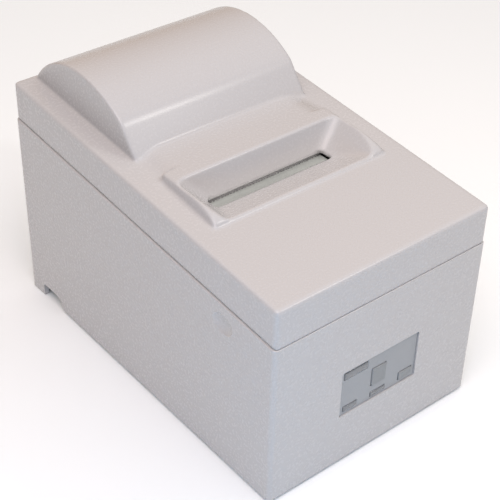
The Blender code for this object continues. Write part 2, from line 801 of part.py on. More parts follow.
def side_plates():
    """Plates that carry the rollers, the guide shafts and the feed gears."""
    reduction = gear_centre()
    for side, label in ((-1, "left"), (1, "right")):
        outline = [(-108, DECK_TOP + 0.3), (8, DECK_TOP + 0.3), (8, 100), (-6, 121), (-36, 121),
                   (-44, 116), (-70, 112), (-100, 112), (-108, 100)]
        plate = prism(outline, "X", *span(side, SIDE_IN, SIDE_OUT))
        if side < 0:
            stub = cylinder("X", LEVER_PIVOT, 2.0, *span(side, SIDE_IN + 0.5, 66.5), 16)
        else:
            stub = cylinder("X", reduction, 2.0, *span(side, SIDE_IN + 0.5, 67.0), 16)
        plate = join(plate, stub)
        holes = [
            cylinder("X", FEED_AXIS, 3.1, *span(side, 56, 61)),
            cylinder("X", PINCH_AXIS, 2.6, *span(side, 56, 61)),
            cylinder("X", (SHAFT_FRONT_Y, SHAFT_Z), SHAFT_R + 0.1, *span(side, 56, 61)),
            cylinder("X", (SHAFT_REAR_Y, SHAFT_Z), SHAFT_R + 0.1, *span(side, 56, 61)),
        ]
        if side > 0:
            holes.append(cylinder("X", FEED_MOTOR_AXIS, 3.0, *span(side, 56, 61)))
        put("side_plate_" + label, cut(plate, *holes), "steel")


def guide_shafts():
    for y, label in ((SHAFT_FRONT_Y, "front"), (SHAFT_REAR_Y, "rear")):
        put("guide_shaft_" + label, cylinder("X", (y, SHAFT_Z), SHAFT_R, -60.5, 60.5, 20), "steel")


def paper_tray():
    """Bed with a round trough for the paper roll, hollow underneath."""
    block = box((-72, 72), (18, 117.5), (76, 106))
    posts = []
    for side in (-1, 1):
        posts.append(box(span(side, 62, 71.5), (22, 30), (DECK_TOP + 0.3, 80)))
        posts.append(box(span(side, 62, 71.5), (106, 113), (BAY_TOP + 2.8, 80)))
    trough = cylinder("X", ROLL_CENTRE, ROLL_TROUGH_R, -40.5, 40.5, 48)
    under = box((-69, 69), (21, 114.5), (70, 103.0))
    under = cut(under, cylinder("X", ROLL_CENTRE, ROLL_TROUGH_R + 2.5, -43.0, 43.0, 48))
    tray = cut(block, trough, under)
    put("paper_tray", join(tray, *posts), "inner_plastic")


def paper_guide():
    """Bent sheet that leads the paper under the platen and up its front."""
    path = [(15, 103), (-8, 88.6), (-13, 86.6), (-19, 86.4), (-23, 87.6), (-25.4, 90.6)]
    outline = offset_path(path, 0.4)
    put("paper_guide", prism(outline, "X", -40, 40), "inner_plastic")


def platen():
    bar = box((-42, 42), (-21.4, -17.4), (90, 106))
    ends = box((-57.6, 57.6), (-20.9, -17.9), (95, 103))
    put("platen", join(bar, ends), "black_plastic")


# ---------------------------------------------------------------- feed drive

def gear_outline(teeth, centre, first):
    """Straight-sided teeth; the first tooth points at an angle in radians."""
    radius = teeth / 2
    pitch = 2 * math.pi / teeth
    points = []
    for i in range(teeth):
        middle = first + pitch * i
        for reach, offset in ((-DEDENDUM, -0.25), (ADDENDUM, -0.12), (ADDENDUM, 0.12), (-DEDENDUM, 0.25)):
            angle = middle + offset * pitch
            points.append((centre[0] + (radius + reach) * math.cos(angle),
                           centre[1] + (radius + reach) * math.sin(angle)))
    return points


def gear(name, teeth, centre, first, bore):
    blank = prism(gear_outline(teeth, centre, first), "X", *GEAR_X)
    wheel = cut(blank, cylinder("X", centre, bore, GEAR_X[0] - 1, GEAR_X[1] + 1, 20))
    put(name, wheel, "white_nylon", (GEAR_X[0], *centre))


def feed_gears():
    """Feed gear, reduction gear and pinion, each tooth set in a gap of the next."""
    feed = Vector(FEED_AXIS)
    middle = gear_centre()
    motor = Vector(FEED_MOTOR_AXIS)
    first_line = middle - feed
    second_line = motor - middle
    feed_first = math.atan2(first_line.y, first_line.x)
    pitch = 2 * math.pi / REDUCTION_TEETH
    middle_first = feed_first + math.pi + pitch / 2
    toward_motor = math.atan2(second_line.y, second_line.x)
    ahead = (toward_motor - middle_first) / pitch
    skew = (round(ahead) - ahead) * pitch
    gap = toward_motor + math.pi - skew * REDUCTION_TEETH / PINION_TEETH
    pinion_first = gap + math.pi / PINION_TEETH
    gear("feed_gear", FEED_TEETH, tuple(feed), feed_first, 3.2)
    gear("reduction_gear", REDUCTION_TEETH, tuple(middle), middle_first, 2.1)
    gear("motor_pinion", PINION_TEETH, tuple(motor), pinion_first, 1.5)


def rollers():
    shaft_profile = ((3.0, -60.5), (3.0, -42.0), (FEED_R, -42.0), (FEED_R, 42.0), (3.0, 42.0), (3.0, 66.4))
    put("feed_roller", turned("X", FEED_AXIS, shaft_profile, 24), "rubber_black", (0, *FEED_AXIS))
    pinch_profile = ((2.5, -60.5), (2.5, -40.0), (PINCH_R, -40.0), (PINCH_R, 40.0), (2.5, 40.0), (2.5, 60.5))
    put("pinch_roller", turned("X", PINCH_AXIS, pinch_profile, 24), "rubber_black", (0, *PINCH_AXIS))


def feed_motor():
    profile = ((12.0, 42.0), (12.0, 57.0), (5.0, 57.0), (5.0, 57.7), (1.4, 57.7), (1.4, 66.0))
    put("feed_motor", turned("X", FEED_MOTOR_AXIS, profile, 24), "steel")


def release_lever():
    """Arm outside the left plate that opens the paper path."""
    y, z = LEVER_PIVOT
    hub = cylinder("X", LEVER_PIVOT, 5.0, -65.5, -61.0, 20)
    arm = prism([(y - 2.5, z), (y + 2.5, z), (y - 9.5, z + 17), (y - 14.5, z + 17)], "X", -64.5, -62.0)
    grip = cylinder("X", (y - 12.0, z + 18.0), 3.4, -66.0, -61.0, 16)
    lever = join(hub, arm, grip)
    lever = cut(lever, cylinder("X", LEVER_PIVOT, 2.1, -70, -58, 16))
    put("release_lever", lever, "black_plastic", (-63.0, y, z))


# ---------------------------------------------------------------- print drive and ribbon

def print_head():
    body = box((-15, 15), (-62, -34), (87.3, 109))
    nose = box((-6, 6), (-35, -24.6), (92, 104))
    groove = [box((-16, 16), (-59 + 6 * i, -56.5 + 6 * i), (104, 110)) for i in range(4)]
    head = cut(join(body, nose), *groove)
    put("print_head", head, "aluminium")


def head_carriage():
    body = box((-18, 18), (-68, -38), (73, 87))
    clamp = box((-4, 4), (PULLEY_Y + PULLEY_R + 1.5, -66), (75.5, 78.5))
    carriage = join(body, clamp)
    bores = [
        cylinder("X", (y, SHAFT_Z), SHAFT_R + 0.1, -20, 20, 20) for y in (SHAFT_FRONT_Y, SHAFT_REAR_Y)
    ]
    put("head_carriage", cut(carriage, *bores), "black_plastic")


def pulleys():
    low, high = PULLEY_Z
    outer = ((7.4, low - 1), (7.4, low - 0.1), (PULLEY_R, low - 0.1), (PULLEY_R, high + 0.1),
             (7.4, high + 0.1), (7.4, high + 1), (1.3, high + 1), (1.3, low - 1))
    for side, name in ((-1, "drive_pulley"), (1, "idler_pulley")):
        centre = (side * PULLEY_X, PULLEY_Y)
        rings = []
        for radius, z in outer:
            rings.append([Vector((x, y, z)) for x, y in circle(centre, radius, 20)])
        put(name, loft(rings, capped=False), "white_nylon", (*centre, low))


def timing_belt():
    """Closed loop around the two pulleys."""
    low, high = PULLEY_Z
    reach = PULLEY_X

    def loop(radius):
        return (arc((reach, PULLEY_Y), radius, -90, 90, 10)
                + arc((-reach, PULLEY_Y), radius, 90, 270, 10))

    outer = loop(PULLEY_R + 1.1)
    inner = loop(PULLEY_R + 0.3)
    rings = [ring_at(outer, low + 0.3), ring_at(outer, high - 0.3), ring_at(inner, high - 0.3),
             ring_at(inner, low + 0.3)]
    put("timing_belt", loft(rings, capped=False), "rubber_black")


def carriage_motor():
    profile = ((12.0, 38.0), (12.0, DECK_TOP + 0.3), (13.4, DECK_TOP + 0.3), (13.4, DECK_TOP + 1.6),
               (4.0, DECK_TOP + 1.6), (4.0, DECK_TOP + 4), (1.2, DECK_TOP + 4), (1.2, 81.0))
    put("carriage_motor", turned("Z", (-PULLEY_X, PULLEY_Y), profile, 24), "steel")


def ribbon_cartridge():
    """Cartridge with two arms that hold the ribbon in front of the platen."""
    body = box((-57.4, 57.4), (-106, -70), (92, 110))
    arms = [box(span(side, 50.5, 57.4), (-71, -24), (92, 104)) for side in (-1, 1)]
    well = cylinder("Z", (KNOB_X, KNOB_Y), 2.1, 100, 112, 16)
    put("ribbon_cartridge", cut(join(body, *arms), well), "black_plastic")
    put("ribbon", box((-53, 53), (-23.7, -23.3), (93, 103)), "ribbon_fabric")


def ribbon_knob():
    """Ribbed knob that takes up slack ribbon."""
    outline = []
    ribs = 12
    for i in range(ribs):
        for offset, radius in ((-0.25, 7.0), (-0.15, 8.0), (0.15, 8.0), (0.25, 7.0)):
            angle = 2 * math.pi * (i + offset) / ribs
            outline.append((KNOB_X + radius * math.cos(angle), KNOB_Y + radius * math.sin(angle)))
    cap = prism(outline, "Z", 110.4, 116.0)
    stem = cylinder("Z", (KNOB_X, KNOB_Y), 2.0, 101, 111, 16)
    put("ribbon_knob", join(cap, stem), "black_plastic", (KNOB_X, KNOB_Y, 110.4))


def build():
    clear_scene()
    main_case()
    control_panel()
    buttons()
    top_cover()
    hinge_pins()
    tear_bar()
    base_plate()
    base_screws()
    feet()
    main_board()
    heat_sink()
    power_switch()
    inner_chassis()
    side_plates()
    guide_shafts()
    paper_tray()
    paper_guide()
    platen()
    feed_gears()
    rollers()
    feed_motor()
    release_lever()
    print_head()
    head_carriage()
    pulleys()
    timing_belt()
    carriage_motor()
    ribbon_cartridge()
    ribbon_knob()


build()
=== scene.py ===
"""Looks of the receipt printer.

Smooth plastic housings, a detailed mechanism, materials, light and camera.
All sizes are in millimetres unless a comment says otherwise.
"""

import math

import bmesh
import bpy
import numpy as np
from mathutils import Matrix, Vector

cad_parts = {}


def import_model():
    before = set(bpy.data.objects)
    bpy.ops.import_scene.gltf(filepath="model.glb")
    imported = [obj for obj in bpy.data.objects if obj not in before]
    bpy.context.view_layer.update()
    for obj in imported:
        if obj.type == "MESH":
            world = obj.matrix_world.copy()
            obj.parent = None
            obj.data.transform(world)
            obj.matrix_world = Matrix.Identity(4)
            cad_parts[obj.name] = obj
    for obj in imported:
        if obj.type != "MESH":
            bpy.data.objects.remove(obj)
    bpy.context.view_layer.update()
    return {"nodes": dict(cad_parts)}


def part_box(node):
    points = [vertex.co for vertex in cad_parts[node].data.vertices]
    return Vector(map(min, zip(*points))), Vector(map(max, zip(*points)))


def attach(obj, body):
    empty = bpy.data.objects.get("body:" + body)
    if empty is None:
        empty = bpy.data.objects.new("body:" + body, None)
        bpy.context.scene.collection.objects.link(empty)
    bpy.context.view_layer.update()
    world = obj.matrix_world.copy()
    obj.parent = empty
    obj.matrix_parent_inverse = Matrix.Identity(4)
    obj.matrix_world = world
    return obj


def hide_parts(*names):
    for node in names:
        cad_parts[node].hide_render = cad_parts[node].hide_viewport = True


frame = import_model()

MM = 0.001
SIDES = ((-1, "left"), (1, "right"))

# Driving sizes, read from the frame
HALF_X, HALF_Y, CROWN_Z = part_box("top_cover")[1] / MM

# Slope shared by the seam and the lid's top, and where they start at the front
REAR_RISE = 18.0
SLOPE = REAR_RISE / (2 * HALF_Y)
SEAM_FRONT = 109.5
TOP_FRONT = 134.0
CASE_GAP = 0.03
LID_GAP = 0.05
LID_INSET = 0.45
CASE_SWELL = 0.35

CORNER_R = 3.0
CASE_WALL = 3.0
LID_SHELL = 2.5
LID_EDGE_R = 2.0

# Case: openings, bosses and hinge lugs
BASE_GAP = 2.0
LEG_GAP = 0.2
BAY_HALF = 62.0
BAY_TOP = 46.0
NOTCH_Y = (83.5, 107.5)
NOTCH_Z = 9.5
DIMPLE_SIZE = (3.0, 9.2, 6.9)
DIMPLE_PLACE = (-80.5, 100.5)
SCREW_X = 68.5
SCREW_Y = (-108.0, 60.0)
LUG_R = 2.3
LUG_X = (51.0, 61.0)

# Control panel
PANEL_X = (-27.5, 30.0)
PANEL_Z = (36.0, 68.5)
LENSES = ("status_window", "power_lamp", "error_lamp")
BUTTONS = ("feed_button", "online_button")

# Power switch in the right side wall
SWITCH_X = 71.0
SWITCH_Y = -95.0
SWITCH_Z = 30.0

# Screws of the tear bar as (x, y)
TEAR_SCREW = (37.0, -40.0)

# Mechanism: axes and the lever's pivot as (y, z)
FEED_AXIS = (-15.5, 113.5)
PINCH_AXIS = (-28.3, 113.5)
MOTOR_AXIS = (-6.0, 79.0)
ROLL_CENTRE = (72.0, 127.0)
ROLL_R = 45.0
LEVER_PIVOT = (-46.0, 106.0)
SHAFT_Y = (-62.0, -44.0)
SHAFT_Z = 80.0
SHAFT_R = 3.0
PULLEY_X = 44.0
PULLEY_Y = -77.0
PULLEY_Z = (74.0, 80.0)
KNOB_X = -46.0
KNOB_Y = -92.0
CARTRIDGE_HALF = 57.4
CARTRIDGE_Y = (-106.0, -70.0)
CARTRIDGE_Z = (92.0, 110.0)
TRAY_HALF = 72.0
TRAY_Y = (18.0, 117.5)
TRAY_Z = (76.0, 106.0)
FEED_TEETH = 24
REDUCTION_TEETH = 20
PINION_TEETH = 10
MESH_GAP = 0.15
GEAR_X = (60.6, 65.6)

# Dome over the paper roll: its arcs, its front foot and the crease above that, as (y, z)
DOME_HALF = 61.7
DOME_CROWN_Y = 72.0
DOME_FRONT_R = 71.0
DOME_REAR_R = 58.0
DOME_REAR_Y = 121.5
DOME_FOOT = (15.3, 143.6)
DOME_CREASE = (29.9, 162.65)

# Paper-exit recess: the slot, the funnel's upper edge as (half width, front, rear, level), its corners
EXIT_HALF = 42.0
EXIT_FRONT_Y = -31.0
EXIT_REAR_Y = -21.0
EXIT_FLOOR_Z = 131.5
FUNNEL_TOP = (62.2, -77.0, -13.7, 150.5)
FUNNEL_CORNER_R = (2.2, 5.0)

# Cheek: the raised band around the recess
CHEEK_TOP_Z = 147.0
CHEEK_BASE_HALF = 60.5
CHEEK_RIDGE_HALF = 58.5
CHEEK_REAR_HALF = 49.0
CHEEK_FRONT_Y = -54.0
CHEEK_FLAT_Y = -22.0
CHEEK_STEP_Y = -8.0

# Lid hinge
HINGE_Y = 120.0
HINGE_Z = SEAM_FRONT + REAR_RISE + 2.5
HINGE_SLOT = (50.4, 61.6)


# ---- fields

def seam_z(y):
    return SEAM_FRONT + (y + HALF_Y) * SLOPE


def top_z(y):
    return TOP_FRONT + (y + HALF_Y) * SLOPE


def both(a, b, r):
    """Where both fields are inside, with an edge of radius r."""
    corner = np.hypot(np.maximum(a + r, 0), np.maximum(b + r, 0))
    return np.minimum(np.maximum(a, b), -r) + corner


def either(a, b, r):
    """Where either field is inside, with a fillet of radius r."""
    return -both(-a, -b, r)


def without(a, b, r):
    """The first field less the second, with an edge of radius r."""
    return both(a, -b, r)


def plane_through(u, v, first, second):
    """Distance in the (u, v) plane from a line, positive on its left."""
    run_u = second[0] - first[0]
    run_v = second[1] - first[1]
    length = math.hypot(run_u, run_v)
    return ((v - first[1]) * run_u - (u - first[0]) * run_v) / length


def slab_field(x, y, z):
    """Box of the lid with round corners and a round upper edge."""
    walls = both(np.abs(x) - HALF_X, np.abs(y) - HALF_Y, CORNER_R) + LID_INSET
    lid_top = (z - top_z(y)) * math.cos(math.atan(SLOPE))
    return both(walls, lid_top, LID_EDGE_R)


def dome_field(x, y, z):
    """Roll cover: flat front face, crease, and an arch to the rear."""
    front_arch = np.hypot(y - DOME_CROWN_Y, z - (CROWN_Z - DOME_FRONT_R)) - DOME_FRONT_R
    rear_arch = np.hypot(y - DOME_CROWN_Y, z - (CROWN_Z - DOME_REAR_R)) - DOME_REAR_R
    arch = np.where(y < DOME_CROWN_Y, front_arch, rear_arch)
    arch = both(arch, y - DOME_REAR_Y, 1.0)
    face = plane_through(y, z, DOME_FOOT, DOME_CREASE)
    profile = both(arch, face, 0.9)
    return both(profile, np.abs(x) - DOME_HALF, 1.3)


def cheek_field(x, y, z):
    """Raised band around the recess, dropping in an elliptical curve at its front.

    Its sides are steep beside the recess and gentle behind it. The factors 0.95 and 0.357 turn
    distances along x into distances square to those sides.
    """
    start_z = top_z(CHEEK_FRONT_Y)
    reach = CHEEK_FLAT_Y - CHEEK_FRONT_Y
    rise = CHEEK_TOP_Z - start_z
    u = np.maximum(CHEEK_FLAT_Y - y, 0) / reach
    v = np.maximum(z - start_z, 0) / rise
    size = np.hypot(u, v)
    steep = np.hypot(u / reach, v / rise)
    curve = size * (size - 1) / np.maximum(steep, 1e-6)
    level = np.where(y > CHEEK_FLAT_Y, z - CHEEK_TOP_Z, curve)
    flare = (CHEEK_TOP_Z - z) * (CHEEK_BASE_HALF - CHEEK_RIDGE_HALF) / 6.0
    steep_side = (np.abs(x) - CHEEK_RIDGE_HALF - flare) * 0.95
    steep_part = both(steep_side, y - CHEEK_STEP_Y - 4, 2.0)
    spread = (CHEEK_TOP_Z - z) * (CHEEK_BASE_HALF - CHEEK_REAR_HALF) / 4.4
    gentle_side = (np.abs(x) - CHEEK_REAR_HALF - spread) * 0.357
    gentle_side = np.maximum(gentle_side, np.abs(x) - CHEEK_BASE_HALF - 4)
    gentle_part = both(np.maximum(gentle_side, y - 24), CHEEK_STEP_Y - y, 1.5)
    sides = either(steep_part, gentle_part, 1.5)
    return both(level, sides, 1.4)


def funnel_field(x, y, z):
    """Recess with four sloping walls that lead down to the paper slot."""
    top_half, top_front, top_rear, top = FUNNEL_TOP
    side = -plane_through(np.abs(x), z, (EXIT_HALF, EXIT_FLOOR_Z), (top_half, top))
    front = plane_through(y, z, (EXIT_FRONT_Y, EXIT_FLOOR_Z), (top_front, top))
    rear = -plane_through(y, z, (EXIT_REAR_Y, EXIT_FLOOR_Z), (top_rear, top))
    corner_r = np.interp(y, (EXIT_FRONT_Y, EXIT_REAR_Y), FUNNEL_CORNER_R)
    upper = both(side, np.maximum(rear, front), corner_r)
    middle_y = (EXIT_FRONT_Y + EXIT_REAR_Y) / 2
    half_y = (EXIT_REAR_Y - EXIT_FRONT_Y) / 2
    slot = both(np.abs(x) - EXIT_HALF, np.abs(y - middle_y) - half_y, 1.5)
    upper = np.maximum(upper, EXIT_FLOOR_Z - z)
    slot = np.maximum(slot, z - EXIT_FLOOR_Z - 0.4)
    return np.minimum(upper, slot)


def lid_solid(x, y, z):
    body = either(slab_field(x, y, z), dome_field(x, y, z), 1.0)
    body = either(body, cheek_field(x, y, z), 1.2)
    return without(body, funnel_field(x, y, z), 0.9)


def hinge_field(shell, x, y, z):
    """Round the rear lower edge about the hinge axis, open two slots and add barrels."""
    from_axis = np.hypot(y - HINGE_Y, z - HINGE_Z)
    behind = (y > HINGE_Y) & (z < HINGE_Z)
    shell = np.maximum(shell, np.where(behind, from_axis - 2.6, -1.0))
    slot_in, slot_out = HINGE_SLOT
    middle = (slot_in + slot_out) / 2
    slot_x = np.abs(np.abs(x) - middle) - (slot_out - slot_in) / 2
    slot = np.maximum(slot_x, np.maximum(z - HINGE_Z - 3.5, 110 - y))
    shell = without(shell, slot, 0.4)
    near = np.abs(np.abs(x) - (slot_in - 3.0)) - 3.0
    far = np.abs(np.abs(x) - (slot_out + 3.2)) - 3.2
    ends = np.minimum(near, far)
    barrel = both(from_axis - 2.5, ends, 0.4)
    web = np.maximum(np.maximum(ends, np.abs(y - HINGE_Y + 0.3) - 1.2), np.abs(z - HINGE_Z - 3.2) - 3.0)
    return either(either(shell, barrel, 0.3), web, 0.3)


def lid_field(x, y, z):
    """Shell of the lid: its outer form less the same form moved inwards."""
    outer = lid_solid(x, y, z)
    shell = np.maximum(outer, -(outer + LID_SHELL))
    inside = np.maximum(np.abs(x) - (HALF_X - 3), np.abs(y) - (HALF_Y - 3))
    hanging = np.maximum(inside, z - (EXIT_FLOOR_Z - 2.0))
    shell = np.maximum(shell, -hanging)
    rim = (seam_z(y) + LID_GAP - z) * math.cos(math.atan(SLOPE))
    return hinge_field(both(shell, rim, 0.06), x, y, z)


# ---- surface of a field

CELL = 1.2


def grid_line(low, high):
    count = int(math.ceil((high - low) / CELL)) + 1
    return low + CELL * np.arange(count)


def net_points(field, cells):
    """Mean of the edge crossings of each cell, in cell units."""
    corners = np.array([(i, j, k) for i in (0, 1) for j in (0, 1) for k in (0, 1)])
    values = np.stack([field[tuple((cells + c).T)] for c in corners], axis=1)
    total = np.zeros((len(cells), 3))
    hits = np.zeros((len(cells), 1))
    for a in range(8):
        for b in range(a + 1, 8):
            if np.abs(corners[a] - corners[b]).sum() != 1:
                continue
            start, end = values[:, a], values[:, b]
            crossed = (start < 0) != (end < 0)
            part = np.where(crossed, start / np.where(crossed, start - end, 1), 0)
            point = corners[a] + part[:, None] * (corners[b] - corners[a])
            total += point * crossed[:, None]
            hits += crossed[:, None]
    return cells + total / hits


def net_faces(inside, index):
    """Quads across each grid edge whose two ends lie on different sides."""
    quads = []
    for axis in range(3):
        u, v = (axis + 1) % 3, (axis + 2) % 3
        low = np.moveaxis(inside, axis, 0)[:-1]
        high = np.moveaxis(inside, axis, 0)[1:]
        edges = np.argwhere(np.moveaxis(low != high, 0, axis))
        ring = []
        for du, dv in ((0, 0), (-1, 0), (-1, -1), (0, -1)):
            cell = edges.copy()
            cell[:, u] += du
            cell[:, v] += dv
            ring.append(index[tuple(cell.T)])
        ring = np.stack(ring, axis=1)
        leaving = inside[tuple(edges.T)]
        ring[~leaving] = ring[~leaving][:, ::-1]
        quads.append(ring)
    return np.concatenate(quads)


def onto_surface(field, points):
    """Four Newton steps that put each point on the surface, each at most half a cell long."""
    reach = 0.02
    for _ in range(4):
        value = field(*points.T)
        slope = np.empty_like(points)
        for axis in range(3):
            ahead = points.copy()
            ahead[:, axis] += reach
            behind = points.copy()
            behind[:, axis] -= reach
            slope[:, axis] = (field(*ahead.T) - field(*behind.T)) / (2 * reach)
        size = np.maximum((slope ** 2).sum(axis=1), 0.05)
        move = slope * (value / size)[:, None]
        length = np.maximum(np.linalg.norm(move, axis=1), 1e-9)
        points = points - move * np.minimum(1, 0.5 * CELL / length)[:, None]
    return points


def field_mesh(name, field, low, high):
    """Closed mesh of a field; the grid leans with the lid so that flat faces stay flat."""
    lines = [grid_line(a, b) for a, b in zip(low, high)]
    x, y, z = np.meshgrid(*lines, indexing="ij")
    samples = field(x, y, z + (y + HALF_Y) * SLOPE)
    inside = samples < 0
    size = np.array(inside.shape) - 1
    count = sum(
        inside[i:size[0] + i, j:size[1] + j, k:size[2] + k].astype(int)
        for i in (0, 1) for j in (0, 1) for k in (0, 1)
    )
    cells = np.argwhere((count > 0) & (count < 8))
    index = np.zeros(count.shape, int)
    index[tuple(cells.T)] = np.arange(len(cells))
    points = net_points(samples, cells) * CELL + np.array([line[0] for line in lines])
    points[:, 2] += (points[:, 1] + HALF_Y) * SLOPE
    points = onto_surface(field, points)
    mesh = bpy.data.meshes.new(name)
    mesh.from_pydata((points * MM).tolist(), [], net_faces(inside, index).tolist())
    mesh.validate()
    mesh.shade_smooth()
    return mesh


# ---- mesh building

def faced_out(shape):
    bmesh.ops.recalc_face_normals(shape, faces=shape.faces)
    return shape


def box(x, y, z):
    """Block between pairs of limits along each axis."""
    shape = bmesh.new()
    bmesh.ops.create_cube(shape, size=1.0)
    for vert in shape.verts:
        vert.co.x = x[1] if vert.co.x > 0 else x[0]
        vert.co.y = y[1] if vert.co.y > 0 else y[0]
        vert.co.z = z[1] if vert.co.z > 0 else z[0]
    return faced_out(shape)


def placed(axis, u, v, along):
    """Point from outline coordinates (u, v) and a place along the named axis."""
    if axis == "X":
        return Vector((along, u, v))
    if axis == "Y":
        return Vector((u, along, v))
    return Vector((u, v, along))


def loft(rings, capped=True):
    """Skin closed rings of equal length; uncapped, the last ring joins the first."""
    shape = bmesh.new()
    rows = [[shape.verts.new(point) for point in ring] for ring in rings]
    pairs = list(zip(rows, rows[1:]))
    if capped:
        shape.faces.new(rows[0])
        shape.faces.new(rows[-1])
    else:
        pairs.append((rows[-1], rows[0]))
    for low, high in pairs:
        count = len(low)
        for i in range(count):
            j = (i + 1) % count
            shape.faces.new((low[i], low[j], high[j], high[i]))
    return faced_out(shape)


def prism(outline, axis, lo, hi):
    return loft([[placed(axis, u, v, s) for u, v in outline] for s in (lo, hi)])


def arc(centre, radius, start, end, steps):
    """Points on an arc, angles in degrees, both ends included."""
    angles = [math.radians(start + (end - start) * i / steps) for i in range(steps + 1)]
    return [(centre[0] + radius * math.cos(a), centre[1] + radius * math.sin(a)) for a in angles]


def at_angle(centre, radius, angle):
    """Point on a circle at an angle in degrees."""
    return arc(centre, radius, angle, angle, 1)[0]


def round_edge(radius, low, edge, turn, count):
    """Quarter of a turned profile: points from the end face to the side, turn in degrees per step."""
    angles = [math.radians(turn * i) for i in range(count)]
    return [(radius - edge * (1 - math.sin(a)), low + edge * (1 - math.cos(a))) for a in angles]


def circle(centre, radius, segments=48):
    return arc(centre, radius, 0.0, 360.0, segments)[:-1]


def rounded(u, v, radius, steps=6):
    """Rectangle outline with round corners, anticlockwise."""
    centre_u, centre_v = sum(u) / 2, sum(v) / 2
    points = []
    corners = ((u[1], v[0], -90), (u[1], v[1], 0), (u[0], v[1], 90), (u[0], v[0], 180))
    for cu, cv, start in corners:
        inner = (cu - math.copysign(radius, cu - centre_u), cv - math.copysign(radius, cv - centre_v))
        points += arc(inner, radius, start, start + 90, steps)
    return points


def cylinder(axis, centre, radius, lo, hi, segments=48):
    return prism(circle(centre, radius, segments), axis, lo, hi)


def turned(axis, centre, profile, segments=64, capped=True):
    """Stacked discs: profile lists (radius, place along the axis); uncapped, a ring with a hole."""
    rings = []
    for radius, along in profile:
        rings.append([placed(axis, u, v, along) for u, v in circle(centre, radius, segments)])
    return loft(rings, capped)


def gathered(*shapes):
    """One shape that holds several separate closed ones."""
    total = bmesh.new()
    for shape in shapes:
        mesh = bpy.data.meshes.new("gathered")
        shape.to_mesh(mesh)
        shape.free()
        total.from_mesh(mesh)
        bpy.data.meshes.remove(mesh)
    return total


def to_mesh(name, shape):
    mesh = bpy.data.meshes.new(name)
    shape.to_mesh(mesh)
    shape.free()
    mesh.transform(Matrix.Scale(MM, 4))
    return mesh


def combine(shape, tools, operation):
    """Boolean of a shape with all the tools, one after another."""
    base = bpy.data.objects.new("base", to_mesh("base", shape))
    bpy.context.scene.collection.objects.link(base)
    for tool in tools:
        other = bpy.data.objects.new("tool", to_mesh("tool", tool))
        bpy.context.scene.collection.objects.link(other)
        step = base.modifiers.new("step", "BOOLEAN")
        step.operation = operation
        step.solver = "EXACT"
        step.object = other
        graph = bpy.context.evaluated_depsgraph_get()
        result = bpy.data.meshes.new_from_object(base.evaluated_get(graph))
        base.modifiers.clear()
        base.data = result
        bpy.data.objects.remove(other, do_unlink=True)
    done = bmesh.new()
    done.from_mesh(base.data)
    bpy.data.objects.remove(base, do_unlink=True)
    bmesh.ops.scale(done, vec=(1 / MM, 1 / MM, 1 / MM), verts=done.verts)
    bmesh.ops.remove_doubles(done, verts=done.verts, dist=0.001)
    return done


def cut(shape, *tools):
    return combine(shape, tools, "DIFFERENCE")


def join(shape, *tools):
    return combine(shape, tools, "UNION")


def span(side, near, far):
    return tuple(sorted((side * near, side * far)))


def grown(limits, by):
    return (limits[0] - by, limits[1] + by)


def about(centre, half):
    """Limits that lie evenly about a centre."""
    return (centre - half, centre + half)


def mm_box(node):
    """Limits of a CAD node along each axis, in millimetres."""
    low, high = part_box(node)
    return tuple((low[i] / MM, high[i] / MM) for i in range(3))


def middle(limits):
    return (limits[0] + limits[1]) / 2


# ---- objects and modifiers

def new_piece(name, shape, body, slot, node=None, edge=0.0, angle=34, segments=2):
    """Object that rides on a body, may stand for a CAD node and may have rounded edges."""
    mesh = shape if isinstance(shape, bpy.types.Mesh) else to_mesh(name, shape)
    piece = bpy.data.objects.new(name, mesh)
    bpy.context.scene.collection.objects.link(piece)
    mesh.materials.clear()
    mesh.materials.append(look_of(slot))
    for face in mesh.polygons:
        face.material_index = 0
    mesh.shade_smooth()
    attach(piece, body)
    if node:
        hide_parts(node)
    if edge:
        soften(piece, edge, angle, segments)


def soften(piece, width, angle, segments):
    """Bevel the sharp edges and keep the flat faces flat."""
    bevel = piece.modifiers.new("edges", "BEVEL")
    bevel.width = width * MM
    bevel.segments = segments
    bevel.limit_method = "ANGLE"
    bevel.angle_limit = math.radians(angle)
    bevel.use_clamp_overlap = True
    bevel.miter_outer = "MITER_ARC"
    normals = piece.modifiers.new("normals", "WEIGHTED_NORMAL")
    normals.keep_sharp = True


def finish_node(name, slot, width):
    """CAD node that stays: weld it, round its edges and give it its material."""
    node = frame["nodes"][name]
    node.data.materials.clear()
    node.data.materials.append(look_of(slot))
    for face in node.data.polygons:
        face.use_smooth = True
        face.material_index = 0
    weld = node.modifiers.new("weld", "WELD")
    weld.merge_threshold = 0.00001
    flat = node.modifiers.new("flat", "DECIMATE")
    flat.decimate_type = "DISSOLVE"
    flat.angle_limit = math.radians(1.0)
    soften(node, width, 34, 2)


# ---- materials

